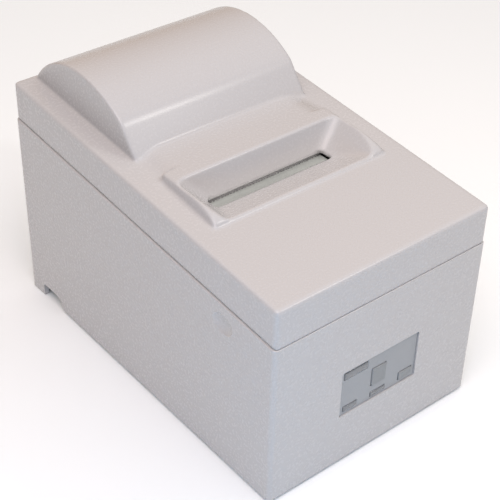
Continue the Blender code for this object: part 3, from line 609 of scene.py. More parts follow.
class Nodes:
    """Small helper that adds nodes to a tree."""

    def __init__(self, tree):
        self.tree = tree

    def link(self, source, target):
        self.tree.links.new(source, target)

    def ramp(self, value, low, high, start, end, kind="LINEAR"):
        """Map a value between two limits to a range."""
        node = self.tree.nodes.new("ShaderNodeMapRange")
        node.interpolation_type = kind
        node.inputs["From Min"].default_value = low
        node.inputs["From Max"].default_value = high
        node.inputs["To Min"].default_value = start
        node.inputs["To Max"].default_value = end
        self.link(value, node.inputs["Value"])
        return node.outputs["Result"]

    def mix(self, factor, first, second):
        """Blend of two colours; either may be a socket or a value."""
        node = self.tree.nodes.new("ShaderNodeMix")
        node.data_type = "RGBA"
        self.link(factor, node.inputs["Factor"])
        for item, socket in ((first, node.inputs[6]), (second, node.inputs[7])):
            if isinstance(item, tuple):
                socket.default_value = (*item, 1.0)
            else:
                self.link(item, socket)
        return node.outputs[2]

    def add(self, first, second):
        node = self.tree.nodes.new("ShaderNodeMath")
        node.operation = "ADD"
        self.link(first, node.inputs[0])
        self.link(second, node.inputs[1])
        return node.outputs[0]


class Look(Nodes):
    """One node material, built step by step."""

    def __init__(self, name):
        self.material = bpy.data.materials.new(name)
        self.material.use_nodes = True
        super().__init__(self.material.node_tree)
        self.shader = self.tree.nodes["Principled BSDF"]
        self.coords = self.tree.nodes.new("ShaderNodeTexCoord").outputs["Object"]

    def stretched(self, scale):
        """Object coordinates scaled along each axis."""
        mapping = self.tree.nodes.new("ShaderNodeMapping")
        mapping.inputs["Scale"].default_value = scale
        self.link(self.coords, mapping.inputs["Vector"])
        return mapping.outputs["Vector"]

    def noise(self, scale, detail, stretch=(1, 1, 1)):
        node = self.tree.nodes.new("ShaderNodeTexNoise")
        node.inputs["Scale"].default_value = scale
        node.inputs["Detail"].default_value = detail
        self.link(self.stretched(stretch), node.inputs["Vector"])
        return node.outputs["Fac"]

    def bump(self, height, strength, depth):
        node = self.tree.nodes.new("ShaderNodeBump")
        node.inputs["Strength"].default_value = strength
        node.inputs["Distance"].default_value = depth
        self.link(height, node.inputs["Height"])
        self.link(node.outputs["Normal"], self.shader.inputs["Normal"])

    def colour(self, socket):
        self.link(socket, self.shader.inputs["Base Color"])

    def rough(self, socket):
        self.link(socket, self.shader.inputs["Roughness"])

    def put(self, name, value):
        self.shader.inputs[name].default_value = value


def shaded(colour, share):
    return tuple(min(1.0, part * share) for part in colour)


def moulded(name, colour, rough, spread, grain, warm=None):
    """Moulded plastic: fine spark-eroded grain, faint mottling and uneven gloss."""
    look = Look(name)
    mottle = look.noise(30.0, 2.0)
    speck = look.noise(1400.0, 1.0)
    light, dark = shaded(colour, 1 + spread), shaded(colour, 1 - spread)
    base = look.mix(look.ramp(mottle, 0.2, 0.8, 0.0, 1.0), dark, light)
    if warm:
        aged = look.ramp(look.noise(6.0, 0.0), 0.2, 0.9, 0.0, 0.15)
        base = look.mix(aged, base, warm)
    fleck = look.ramp(speck, 0.3, 0.7, 0.0, 0.12)
    look.colour(look.mix(fleck, base, shaded(colour, 0.94)))
    look.rough(look.ramp(look.noise(600.0, 1.0), 0.2, 0.8, rough - 0.015, rough + 0.015))
    look.bump(speck, 0.03, grain)
    return look


def case_plastic():
    look = moulded("case_plastic", CASE_COLOUR, 0.27, 0.002, 0.00003, AGED_COLOUR)
    look.put("Specular IOR Level", 0.42)
    return look


def smoke_window():
    look = Look("smoke_window")
    haze = look.ramp(look.noise(60.0, 3.0), 0.3, 0.7, 0.0, 1.0)
    look.colour(look.mix(haze, (0.165, 0.172, 0.180), (0.200, 0.207, 0.215)))
    look.rough(look.ramp(look.noise(300.0, 2.0), 0.3, 0.7, 0.12, 0.22))
    look.put("Coat Weight", 0.5)
    return look


def rubber_black():
    look = Look("rubber_black")
    dust = look.ramp(look.noise(90.0, 5.0), 0.45, 0.75, 0.0, 0.6)
    look.colour(look.mix(dust, (0.016, 0.016, 0.016), (0.05, 0.048, 0.045)))
    look.rough(look.ramp(look.noise(400.0, 2.0), 0.3, 0.7, 0.7, 0.9))
    look.bump(look.noise(1500.0, 3.0), 0.5, 0.00008)
    return look


def metal(name, colour, rough, stretch, spread, depth):
    """Rolled or drawn metal with streaks along one axis."""
    look = Look(name)
    look.put("Metallic", 1.0)
    streak = look.noise(260.0, 4.0, stretch)
    cloud = look.noise(28.0, 4.0)
    tone = look.ramp(look.add(streak, cloud), 0.7, 1.3, 0.0, 1.0)
    look.colour(look.mix(tone, shaded(colour, 1 - spread), shaded(colour, 1 + spread)))
    look.rough(look.ramp(streak, 0.3, 0.7, rough - 0.08, rough + 0.10))
    look.bump(streak, 0.3, depth)
    return look


def white_nylon():
    look = moulded("white_nylon", (0.70, 0.69, 0.63), 0.5, 0.04, 0.00006)
    look.put("Subsurface Weight", 0.15)
    look.put("Subsurface Radius", (0.002, 0.002, 0.0015))
    return look


def pcb_green():
    """Solder mask over faint copper tracks."""
    look = Look("pcb_green")
    bands = look.tree.nodes.new("ShaderNodeTexVoronoi")
    bands.feature = "DISTANCE_TO_EDGE"
    bands.distance = "MANHATTAN"
    bands.inputs["Scale"].default_value = 130.0
    look.link(look.stretched((1, 1, 1)), bands.inputs["Vector"])
    track = look.ramp(bands.outputs["Distance"], 0.02, 0.05, 1.0, 0.0)
    look.colour(look.mix(track, (0.010, 0.075, 0.030), (0.020, 0.150, 0.055)))
    look.rough(look.ramp(look.noise(200.0, 2.0), 0.3, 0.7, 0.25, 0.38))
    look.bump(track, 0.25, 0.00003)
    look.put("Coat Weight", 0.3)
    return look


def ribbon_fabric():
    """Inked nylon weave, with painted shade darkening the low parts between the threads."""
    look = Look("ribbon_fabric")
    across = look.tree.nodes.new("ShaderNodeTexWave")
    across.inputs["Scale"].default_value = 900.0
    look.link(look.stretched((1, 1, 0)), across.inputs["Vector"])
    down = look.tree.nodes.new("ShaderNodeTexWave")
    down.bands_direction = "Z"
    down.inputs["Scale"].default_value = 900.0
    look.link(look.coords, down.inputs["Vector"])
    weave = look.add(across.outputs["Fac"], down.outputs["Fac"])
    # Colour darker in the weave's low parts and lighter on its crests: painted shade between the threads
    depth = look.ramp(weave, 0.0, 2.0, 0.0, 1.0)
    look.colour(look.mix(depth, (0.012, 0.009, 0.020), (0.045, 0.032, 0.070)))
    look.put("Roughness", 0.85)
    look.bump(weave, 0.4, 0.00004)
    return look


CASE_COLOUR = (0.530, 0.520, 0.520)
AGED_COLOUR = (0.535, 0.515, 0.505)

# Plain plastics: colour, roughness, spread of the mottling and depth of the grain in metres
PLASTICS = {
    "inner_plastic": ((0.150, 0.153, 0.160), 0.55, 0.05, 0.00006),
    "black_plastic": ((0.018, 0.018, 0.020), 0.45, 0.12, 0.00006),
    "panel_grey": ((0.345, 0.358, 0.372), 0.45, 0.03, 0.00004),
    "button_grey": ((0.270, 0.282, 0.290), 0.45, 0.03, 0.00004),
}

# Metals: colour, roughness, stretch of the streaks, their spread and their depth in metres
METALS = {
    "steel": ((0.53, 0.545, 0.53), 0.34, (0.06, 1, 1), 0.10, 0.00002),
    "tear_steel": ((0.60, 0.62, 0.59), 0.42, (0.04, 1, 1), 0.05, 0.00002),
    "aluminium": ((0.62, 0.63, 0.64), 0.42, (1, 1, 0.2), 0.08, 0.00004),
    "contact_gold": ((0.80, 0.60, 0.28), 0.30, (1, 1, 1), 0.06, 0.00002),
    "brass": ((0.55, 0.42, 0.20), 0.38, (0.2, 1, 1), 0.08, 0.00002),
}
OTHERS = {
    "case_plastic": case_plastic, "smoke_window": smoke_window, "rubber_black": rubber_black,
    "white_nylon": white_nylon, "pcb_green": pcb_green, "ribbon_fabric": ribbon_fabric,
}

# Looks by name, made once; some are finer than the plain material slots
MADE = {}


def look_of(name):
    """Material by name, made once."""
    if name not in MADE:
        if name in PLASTICS:
            look = moulded(name, *PLASTICS[name])
        elif name in METALS:
            look = metal(name, *METALS[name])
        else:
            look = OTHERS[name]()
        MADE[name] = look.material
    return MADE[name]


# ---- housing

def lid():
    """Lid shell; the limits of its grid are those of the lid before it leans."""
    low = (-HALF_X - 2.0, -HALF_Y - 1.5, SEAM_FRONT - 1.5)
    high = (HALF_X + 2.0, HALF_Y + 1.5, CROWN_Z - (DOME_CROWN_Y + HALF_Y) * SLOPE + 1.5)
    mesh = field_mesh("lid_shell", lid_field, low, high)
    new_piece("lid_shell", mesh, "cover", "case_plastic", "top_cover")


def paper_lip():
    """Lip moulded under the rear edge of the paper slot."""
    lip_y = (EXIT_REAR_Y + 0.5, EXIT_REAR_Y + 1.9)
    lip_z = (EXIT_FLOOR_Z - 5.0, EXIT_FLOOR_Z - 1.5)
    lip = box(about(0.0, EXIT_HALF + 1.0), lip_y, lip_z)
    new_piece("paper_exit_lip", lip, "cover", "case_plastic", "top_cover")


def footprint(inset, radius, swell=0.0):
    """Outline of the housing, moved inwards, its sides moved out by the swell."""
    side = HALF_X - inset + swell
    return rounded((-side, side), about(0.0, HALF_Y - inset), radius, 8)


def ring_at(outline, height):
    """Outline lifted to a level, or to a surface given as a function of y."""
    if callable(height):
        return [Vector((x, y, height(y))) for x, y in outline]
    return [Vector((x, y, height)) for x, y in outline]


def case_walls():
    """Walls with a sloping rim that shows as a narrow ledge round the lid."""
    def under_rim(drop):
        return lambda y: seam_z(y) - CASE_GAP - drop

    rings = [ring_at(footprint(0.0, CORNER_R, CASE_SWELL), LEG_GAP)]
    for inset, drop in ((0.0, 0.5), (0.07, 0.25), (0.25, 0.07), (0.5, 0.0)):
        rings.append(ring_at(footprint(inset, CORNER_R - inset, CASE_SWELL), under_rim(drop)))
    inner = footprint(CASE_WALL, CORNER_R - CASE_WALL + 0.4)
    rings += [ring_at(inner, under_rim(0.0)), ring_at(inner, LEG_GAP)]
    return loft(rings, capped=False)


def alignment_lip():
    """Rib inside the seam that keeps the shut lid in place, open at the hinge."""
    outer = footprint(CASE_WALL - 0.1, 1.2)
    inner = footprint(CASE_WALL + 1.5, 1.2)
    low, high = (lambda y: seam_z(y) - 6.0), (lambda y: seam_z(y) + 2.6)
    rings = [ring_at(outer, low), ring_at(outer, high), ring_at(inner, high), ring_at(inner, low)]
    return cut(loft(rings, capped=False), box((-80, 80), (108, 125), (90, 150)))


def hinge_lug(side):
    outline = [(HINGE_Y - LUG_R, HINGE_Z - 8), (HINGE_Y + LUG_R, HINGE_Z - 8)]
    outline += arc((HINGE_Y, HINGE_Z), LUG_R, 0, 180, 24)
    return prism(outline, "X", *span(side, *LUG_X))


def cable_notch(side):
    """Opening in the lower edge of a side wall, sloped at its front and round at its rear."""
    front, rear = NOTCH_Y
    outline = [(front, -1), (front + 1.0, NOTCH_Z - 5.5), (front + 3.5, NOTCH_Z - 1.5)]
    outline += arc((front + 8.0, NOTCH_Z - 4.5), 4.5, 125, 90, 4)[1:]
    outline += arc((rear - 2.0, NOTCH_Z - 2.0), 2.0, 90, 0, 6)
    outline.append((rear, -1))
    return prism(outline, "X", *span(side, 70, 80))


def finger_dimple(side):
    """Shallow oval cutter at the front of a side wall."""
    shape = bmesh.new()
    bmesh.ops.create_uvsphere(shape, u_segments=72, v_segments=36, radius=1.0)
    turn = Matrix.Rotation(math.radians(90), 4, "Y")
    size = Matrix.Diagonal((*DIMPLE_SIZE, 1.0))
    place = Matrix.Translation((side * (HALF_X + DIMPLE_SIZE[0] / 2), *DIMPLE_PLACE))
    shape.transform(place @ size @ turn)
    return faced_out(shape)


def case():
    """Case shell with its panel recess, notches, bays and bosses."""
    front = -HALF_Y
    added = [alignment_lip(), hinge_lug(-1), hinge_lug(1)]
    added.append(box((-73.5, 73.5), (74.5, 119.8), (BAY_TOP, BAY_TOP + 2.5)))
    for side in (-1, 1):
        added.append(box(span(side, 61.0, 73.5), (108.5, 119.8), (3.4, 5.4)))
        for y in SCREW_Y:
            added.append(box(span(side, 64.5, 73.5), about(y, 4), (4.9, 20.0)))
    added.append(box((-31.5, 34.0), (front + 2.9, front + 5.0), (32.0, 72.5)))
    shell = join(case_walls(), *added)
    removed = [
        box((-80, 80), (-130, NOTCH_Y[1]), (-1, BASE_GAP)),
        box((-66, 66), (100, 130), (-1, BASE_GAP)),
        prism(rounded((-BAY_HALF, BAY_HALF), (-20, BAY_TOP), 1.5), "Y", 117, 125),
        prism(rounded(PANEL_X, PANEL_Z, 1.2), "Y", front - 1, front + 2.1),
        box((72, 78), about(SWITCH_Y, 7.3), about(SWITCH_Z, 10.8)),
        cylinder("X", (HINGE_Y, HINGE_Z), 1.6, -70, 70),
        cable_notch(-1), cable_notch(1), finger_dimple(-1), finger_dimple(1),
    ]
    for name in BUTTONS:
        x, z = cap_limits(name)
        removed.append(prism(rounded(grown(x, 0.35), grown(z, 0.35), 0.8), "Y", front - 1, front + 6))
    for side in (-1, 1):
        for y in SCREW_Y:
            removed.append(cylinder("Z", (side * SCREW_X, y), 1.5, 3, 16, 24))
    shell = cut(shell, *removed)
    new_piece("case_shell", shell, "case", "case_plastic", "main_case", edge=0.4, angle=40)


# ---- control panel

FLANGE = 1.2


def frame_of(name):
    """Limits in x and z of a CAD node, in millimetres."""
    x, _, z = mm_box(name)
    return x, z


def cap_limits(name):
    """Limits in x and z of a button's cap, inside its hidden flange."""
    x, z = frame_of(name)
    return grown(x, -FLANGE), grown(z, -FLANGE)


def panel():
    """Plate with rounded openings for lenses and buttons."""
    front = -HALF_Y
    x, z = frame_of("control_panel")
    plate = prism(rounded(x, z, 1.0), "Y", front + 0.9, front + 1.8)
    holes = []
    for name in LENSES:
        lx, lz = frame_of(name)
        holes.append(prism(rounded(grown(lx, 0.3), grown(lz, 0.3), 0.6), "Y", front, front + 3))
    for name in BUTTONS:
        bx, bz = cap_limits(name)
        holes.append(prism(rounded(grown(bx, 0.35), grown(bz, 0.35), 0.9), "Y", front, front + 3))
    plate = cut(plate, *holes)
    new_piece("panel_plate", plate, "case", "panel_grey", "control_panel", edge=0.15)


def tile(x, z, corner, steps):
    """Body with a shaped front face: steps list (inset, depth behind the case's front)."""
    rings = []
    for inset, depth in steps:
        outline = rounded(grown(x, -inset), grown(z, -inset), max(corner - inset * 0.3, 0.2))
        rings.append([placed("Y", u, v, depth - HALF_Y) for u, v in outline])
    return loft(rings)


def lens(name):
    """Smoked lens with a slightly crowned face."""
    shape = tile(*frame_of(name), 0.6, ((0.0, 1.8), (0.0, 0.85), (0.2, 0.65), (0.6, 0.55), (1.3, 0.5)))
    new_piece(name + "_lens", shape, "case", "smoke_window", name)


def button(name):
    """Cap with a shallow dished face, a flange behind the wall and a stem."""
    front = -HALF_Y
    x, z = cap_limits(name)
    cap = tile(x, z, 0.9, ((0.0, 6.0), (0.0, 0.9), (0.15, 0.45), (0.5, 0.2), (1.2, 0.32), (2.2, 0.5)))
    flange = prism(rounded(grown(x, FLANGE), grown(z, FLANGE), 1.0), "Y", front + 5.3, front + 6.3)
    stem = cylinder("Y", (middle(x), middle(z)), 1.5, front + 6.0, front + 8.3)
    cap = join(cap, flange, stem)
    new_piece(name + "_cap", cap, name, "button_grey", name, edge=0.1, angle=50)


# ---- screws, feet and switch

def cross_of(centre, reach, half, z):
    """Two crossed bars that cut a cross-shaped recess."""
    u, v = centre
    return [box(about(u, reach), about(v, half), z), box(about(u, half), about(v, reach), z)]


def cross_screw(name, centre, head_r, head_z, shank_r, top, body):
    """Pan-head screw seen from below, with a cross recess."""
    edge = 0.35
    low, head_top = head_z
    profile = ((head_r - edge, low), (head_r, low + edge), (head_r, head_top), (shank_r, head_top),
               (shank_r, top - 0.4), (shank_r - 0.4, top))
    tools = cross_of(centre, head_r * 0.62, 0.35, (low - 1, low + 0.7))
    new_piece(name + "_cross", cut(turned("Z", centre, profile, 48), *tools), body, "steel", name)


def screws():
    for side, label in SIDES:
        for row, y in zip(("front", "rear"), SCREW_Y):
            name = "base_screw_" + row + "_" + label
            cross_screw(name, (side * SCREW_X, y), 3.0, (1.4, 3.1), 1.2, 14.0, "case")
        centre = (side * TEAR_SCREW[0], TEAR_SCREW[1])
        cross_screw("tear_bar_screw_" + label, centre, 2.6, (126.8, 128.1), 1.0, 132.0, "cover")


def foot(name):
    """Rubber foot with a domed sole and a ring groove."""
    x, y, z = mm_box(name)
    radius = (x[1] - x[0]) / 2
    profile = [(radius * share, 0.0) for share in (0.2, 0.45)]
    profile += [(radius * 0.5, 0.35), (radius * 0.6, 0.35), (radius * 0.65, 0.0)]
    profile += round_edge(radius, 0.0, 0.8, 18, 6)
    profile.append((radius, z[1]))
    centre = (middle(x), middle(y))
    new_piece(name + "_pad", turned("Z", centre, profile), "case", "rubber_black", name)


def switch():
    """Bezel with a rocker whose face is a shallow V."""
    y, z = SWITCH_Y, SWITCH_Z
    bezel = prism(rounded(about(y, 7.0), about(z, 10.5), 1.2), "X", 60.0, 75.6)
    pocket = prism(rounded(about(y, 5.9), about(z, 9.2), 0.6), "X", 66.0, 78.0)
    blades = [box((55, 60.5), about(y, 3), (z + low, z + low + 0.8)) for low in (-6.0, 5.0)]
    shape = cut(join(bezel, *blades), pocket)
    new_piece("switch_bezel", shape, "case", "black_plastic", "power_switch", edge=0.3)
    outline = [(-3.0, -8.2), (3.3, -8.2)]
    outline += arc((19.5, 0.0), 17.6, 207, 153, 12)
    outline += [(3.3, 8.2), (-3.0, 8.2)]
    rocker = prism(outline, "Z", -5.5, 5.5)
    rocker.transform(Matrix.Rotation(math.radians(90), 4, "X"))
    tilt = Matrix.Rotation(math.radians(8), 4, "Y")
    rocker.transform(Matrix.Translation((SWITCH_X, y, z)) @ tilt)
    pin = cylinder("Y", (SWITCH_X, z), 1.2, y - 6.2, y + 6.2)
    rocker = join(rocker, pin)
    new_piece("rocker_cap", rocker, "power_rocker", "black_plastic", "power_rocker", edge=0.35)


# ---- rear connectors

CONNECTOR_FRONT = 58.0
CONNECTOR_BACK = 79.0
CONTACTS = 18


def connector(name):
    """Flanged shell with a hollow mouth, for a multi-way plug."""
    x, z = frame_of(name)
    back = CONNECTOR_BACK
    flange = prism(rounded(x, z, 1.0), "Y", 74.3, 75.1)
    body = prism(rounded(grown(x, -1.0), grown(z, -0.8), 0.6), "Y", CONNECTOR_FRONT, 74.5)
    (left, right), (low, high) = grown(x, -6.5), grown(z, -1.8)
    mouth = [(left + 1.6, low), (right - 1.6, low), (right, high), (left, high)]
    hollow = [(left + 2.3, low + 0.7), (right - 2.3, low + 0.7), (right - 0.8, high - 0.7),
              (left + 0.8, high - 0.7)]
    shell = join(flange, body, prism(mouth, "Y", 75.0, back))
    shell = cut(shell, prism(hollow, "Y", 71.0, 82.0))
    new_piece(name + "_shell", shell, "case", "aluminium", name, edge=0.3)
    tongue = rounded(grown((left, right), -4.0), about(middle(z), 1.7), 0.3)
    tongue = prism(tongue, "Y", 70.9, back - 0.8)
    new_piece(name + "_tongue", tongue, "case", "black_plastic", edge=0.2)
    first, last = grown((left, right), -5.0)
    contacts = []
    for i in range(CONTACTS):
        at = first + (last - first) * (i + 0.5) / CONTACTS
        for side in (-1, 1):
            face = middle(z) + side * 1.7
            contacts.append(box(about(at, 0.35), (71.5, back - 1.2), about(face, 0.12)))
    new_piece(name + "_contacts", gathered(*contacts), "case", "contact_gold")
    posts = []
    for at in (x[0] + 3.2, x[1] - 3.2):
        post = prism(circle((at, middle(z)), 2.4, 6), "Y", 75.15, back - 0.4)
        posts.append(cut(post, cylinder("Y", (at, middle(z)), 1.2, 76.0, 80.0, 24)))
    new_piece(name + "_posts", gathered(*posts), "case", "steel", edge=0.2)


def round_jack(name):
    """Square body with a round socket and three pins."""
    x, z = frame_of(name)
    centre = (middle(x), middle(z))
    body = prism(rounded(x, z, 0.8), "Y", CONNECTOR_FRONT, 78.0)
    collar = cylinder("Y", centre, 6.2, 77.9, CONNECTOR_BACK, 64)
    socket = cut(join(body, collar), cylinder("Y", centre, 5.0, 70.0, 80.0, 64))
    new_piece(name + "_body", socket, "case", "black_plastic", name, edge=0.3)
    pin = ((0.6, 69.9), (0.6, 76.2), (0.3, 76.6))
    pins = [turned("Y", at_angle(centre, 2.6, turn), pin, 20) for turn in (90, 210, 330)]
    new_piece(name + "_pins", gathered(*pins), "case", "contact_gold")


def phone_jack(name):
    """Body with a stepped socket and six spring contacts."""
    x, z = frame_of(name)
    body = prism(rounded(x, z, 0.5), "Y", CONNECTOR_FRONT, CONNECTOR_BACK)
    inside = (66.0, 80.0)
    mouth = box(grown(x, -2.3), inside, (z[0] + 4.2, z[1] - 2.2))
    latch = box(about(middle(x), 3.2), inside, (z[0] + 1.8, z[0] + 4.4))
    tip = box(about(middle(x), 1.6), inside, (z[0] + 0.9, z[0] + 2.0))
    body = cut(body, mouth, latch, tip)
    new_piece(name + "_body", body, "case", "black_plastic", name, edge=0.3)
    top = z[1] - 2.3
    outline = [(66.5, top), (76.5, top), (76.5, top - 0.35), (68.5, top - 3.6), (66.5, top - 3.6)]
    wires = []
    for i in range(6):
        at = middle(x) + 1.02 * (i - 2.5)
        wires.append(prism(outline, "X", at - 0.22, at + 0.22))
    new_piece(name + "_wires", gathered(*wires), "case", "contact_gold")


# ---- gears, rollers and motors

def gear_centre():
    """Centre of the reduction gear, in mesh with the feed gear and the pinion."""
    feed, motor = Vector(FEED_AXIS), Vector(MOTOR_AXIS)
    to_feed = (FEED_TEETH + REDUCTION_TEETH) / 2 + MESH_GAP
    to_motor = (REDUCTION_TEETH + PINION_TEETH) / 2 + MESH_GAP
    line = motor - feed
    along = (line.length_squared + to_feed ** 2 - to_motor ** 2) / (2 * line.length)
    aside = math.sqrt(to_feed ** 2 - along ** 2)
    run = line.normalized()
    return feed + run * along + Vector((-run.y, run.x)) * aside


def toothed(centre, radius, teeth, tooth, first=0.0):
    """Outline of repeated teeth: tooth lists (height over the radius, share of the pitch)."""
    pitch = 2 * math.pi / teeth
    points = []
    for i in range(teeth):
        for height, offset in tooth:
            angle = first + pitch * (i + offset)
            points.append((centre[0] + (radius + height) * math.cos(angle),
                           centre[1] + (radius + height) * math.sin(angle)))
    return points


def mirrored(flank):
    """Tooth from one flank: the same points again, turned about the tooth's middle."""
    return flank + tuple((height, -offset) for height, offset in flank[::-1])


def gear(name, body, teeth, centre, first, bore, holes):
    """Moulded gear: curved flanks, a sunk web with holes, and a hub."""
    radius = teeth / 2
    flank = ((-1.2, -0.25), (-0.5, -0.215), (0.1, -0.17), (0.7, -0.11))
    low, high = GEAR_X
    blank = prism(toothed(centre, radius, teeth, mirrored(flank), first), "X", low, high)
    tools = [cylinder("X", centre, bore, low - 1, high + 1)]
    rim, hub = radius - 2.4, bore + 1.6
    if holes:
        for start, end in ((low - 1, low + 1.3), (high - 1.3, high + 1)):
            ring = ((rim, start), (rim, end), (hub, end), (hub, start))
            tools.append(turned("X", centre, ring, capped=False))
        for i in range(holes):
            at = at_angle(centre, (rim + hub) / 2, 360 * i / holes)
            tools.append(cylinder("X", at, (rim - hub) * 0.3, low - 1, high + 1, 32))
    wheel = cut(blank, *tools)
    new_piece(name + "_wheel", wheel, body, "white_nylon", name, edge=0.12, angle=50, segments=1)


def gears():
    """Feed gear, reduction gear and pinion, each tooth set in a gap of the next."""
    feed, centre, motor = Vector(FEED_AXIS), gear_centre(), Vector(MOTOR_AXIS)
    feed_first = math.atan2(*(centre - feed).yx)
    pitch = 2 * math.pi / REDUCTION_TEETH
    middle_first = feed_first + math.pi + pitch / 2
    toward_motor = math.atan2(*(motor - centre).yx)
    ahead = (toward_motor - middle_first) / pitch
    skew = (round(ahead) - ahead) * pitch * REDUCTION_TEETH / PINION_TEETH
    pinion_first = toward_motor + math.pi - skew + math.pi / PINION_TEETH
    gear("feed_gear", "feed_roller", FEED_TEETH, feed, feed_first, 3.2, 6)
    gear("reduction_gear", "reduction_gear", REDUCTION_TEETH, centre, middle_first, 2.1, 5)
    gear("motor_pinion", "motor_pinion", PINION_TEETH, motor, pinion_first, 1.5, 0)


def barrel_of(radius, low, high, edge):
    """Profile of a roller length with round ends."""
    start = round_edge(radius, low, edge, 30, 4)
    return start + [(r, low + high - at) for r, at in start[::-1]]


def roller(name, axis, shaft_r, roller_r, half, ends, parts):
    """Steel shaft with ring grooves and several rubber lengths."""
    left, right = ends
    groove_r = shaft_r - 0.5
    profile = [(shaft_r - 0.4, left), (shaft_r, left + 0.4)]
    for at in (left + 1.6, right - 1.6):
        profile += [(shaft_r, at - 0.4), (groove_r, at - 0.4), (groove_r, at + 0.4), (shaft_r, at + 0.4)]
    profile += [(shaft_r, right - 0.4), (shaft_r - 0.4, right)]
    new_piece(name + "_shaft", turned("X", axis, profile), name, "steel", name)
    gap = 3.0
    length = (2 * half - gap * (parts - 1)) / parts
    sleeves = []
    for i in range(parts):
        low = -half + i * (length + gap)
        sleeves.append(turned("X", axis, barrel_of(roller_r, low, low + length, 0.8)))
    new_piece(name + "_sleeves", gathered(*sleeves), name, "rubber_black")


def motor(name, axis, centre, profile, stub):
    """Can with a crimped end cap and a shaft."""
    can = turned(axis, centre, profile, 72)
    new_piece(name + "_can", can, "case", "steel", name, edge=0.25, angle=40)
    cap = turned(axis, centre, stub, 72)
    new_piece(name + "_cap", cap, "case", "black_plastic", edge=0.2, angle=40)


def motors():
    motor("feed_motor", "X", MOTOR_AXIS,
          ((12.0, 43.6), (12.0, 56.6), (11.4, 57.0), (5.0, 57.0), (5.0, 57.7), (1.4, 57.7), (1.4, 66.0)),
          ((11.2, 42.0), (11.7, 42.3), (11.7, 43.5)))
    deck = 62.0
    motor("carriage_motor", "Z", (-PULLEY_X, PULLEY_Y),
          ((12.0, 39.6), (12.0, deck + 0.3), (13.4, deck + 0.3), (13.4, deck + 1.6), (4.0, deck + 1.6),
           (4.0, deck + 4), (1.2, deck + 4), (1.2, 81.0)),
          ((11.2, 38.0), (11.7, 38.3), (11.7, 39.5)))


# ---- print drive

def pulley(name, side):
    """Toothed core between two flanges."""
    centre = (side * PULLEY_X, PULLEY_Y)
    low, high = PULLEY_Z
    tooth = mirrored(((0.0, -0.3), (0.45, -0.18)))
    wheel = prism(toothed(centre, 5.5, 18, tooth), "Z", low - 0.3, high + 0.3)
    flanges = []
    for at in (low - 1, high + 0.1):
        profile = ((7.1, at), (7.4, at + 0.3), (7.4, at + 0.6), (7.1, at + 0.9))
        flanges.append(turned("Z", centre, profile))
    wheel = cut(join(wheel, *flanges), cylinder("Z", centre, 1.3, low - 2, high + 2))
    new_piece(name + "_wheel", wheel, name, "white_nylon", name, edge=0.08, angle=50, segments=1)


def belt():
    """Closed belt around both pulleys, with teeth along its straight runs."""
    low, high = PULLEY_Z
    outer_r, inner_r, tooth, pitch = 7.1, 6.4, 0.5, 2.0
    count = int(2 * (PULLEY_X - 1) / pitch)

    def run(side):
        """Inner edge of one straight run, in the running direction."""
        edge = PULLEY_Y + side * inner_r
        tip = edge - side * tooth
        points = []
        for i in range(count):
            x = -side * (PULLEY_X - 1 - pitch * i)
            points += [(x, edge), (x + side * 0.4, tip), (x + side * 1.0, tip), (x + side * 1.4, edge)]
        return points

    def bend(side, radius):
        """Half circle around one pulley."""
        start = -90 if side > 0 else 90
        return arc((side * PULLEY_X, PULLEY_Y), radius, start, start + 180, 24)

    inner = bend(1, inner_r) + run(1)[::-1] + bend(-1, inner_r) + run(-1)[::-1]
    outer = bend(1, outer_r) + bend(-1, outer_r)
    band = cut(prism(outer, "Z", low + 0.3, high - 0.3), prism(inner, "Z", low - 1, high + 1))
    new_piece("timing_belt_band", band, "case", "rubber_black", "timing_belt")


def carriage():
    """Sliding block with two bushed bores and a belt clamp."""
    outline = [(-68, 75)] + arc((-66, 75), 2.0, 180, 270, 4)[1:]
    outline += [(-56, 73), (-54.5, 75.5), (-51.5, 75.5), (-50, 73)]
    outline += arc((-40, 75), 2.0, 270, 360, 4) + [(-38, 86), (-39, 87), (-67, 87), (-68, 86)]
    body = prism(outline, "X", -18, 18)
    clamp = box((-4, 4), (PULLEY_Y + 7.5, -66), (75.5, 78.5))
    lugs = [box(about(x, 1.5), (-67.9, -66), (79, 86)) for x in (-13, 13)]
    bores = [cylinder("X", (y, SHAFT_Z), 4.4, -20, 20) for y in SHAFT_Y]
    block = cut(join(body, clamp, *lugs), *bores)
    new_piece("carriage_block", block, "carriage", "black_plastic", "head_carriage", edge=0.4)
    bore = SHAFT_R + 0.12
    ring = ((4.35, -17.9), (4.35, 17.9), (bore, 17.9), (bore, -17.9))
    bushes = [turned("X", (y, SHAFT_Z), ring, capped=False) for y in SHAFT_Y]
    new_piece("carriage_bushes", gathered(*bushes), "carriage", "brass")


def head():
    """Print head: finned heat sink, coil housing and a tapered wire guide."""
    fins, fin = 8, 1.5
    front, rear, foot_z, root, top = -62.0, -34.0, 87.3, 97.0, 109.0
    pitch = (rear - front - fin) / (fins - 1)
    outline = [(front, foot_z), (rear, foot_z)]
    for i in range(fins):
        edge = rear - pitch * i
        outline += [(edge, top), (edge - fin, top)]
        if i < fins - 1:
            outline += [(edge - fin, root), (edge - pitch, root)]
    valley = box((-2.0, 2.0), (front - 1, rear + 1), (root + 4, top + 1))
    sink = cut(prism(outline, "X", -15, 15), valley)
    new_piece("head_sink", sink, "carriage", "aluminium", "print_head", edge=0.25, angle=40)
    rings = []
    for y, half, low, high in ((-33.9, 7.5, 91.0, 105.0), (-31.5, 7.5, 91.0, 105.0),
                               (-29.0, 5.0, 92.5, 104.0), (-24.6, 4.0, 93.5, 103.5)):
        rings.append([placed("Y", u, v, y) for u, v in rounded((-half, half), (low, high), 1.2)])
    new_piece("wire_guide", loft(rings), "carriage", "black_plastic", edge=0.2, angle=40)
    plate = prism(rounded((-3.2, 3.2), (94.5, 102.5), 1.0), "Y", -24.7, -24.3)
    new_piece("wire_guide_plate", plate, "carriage", "steel")


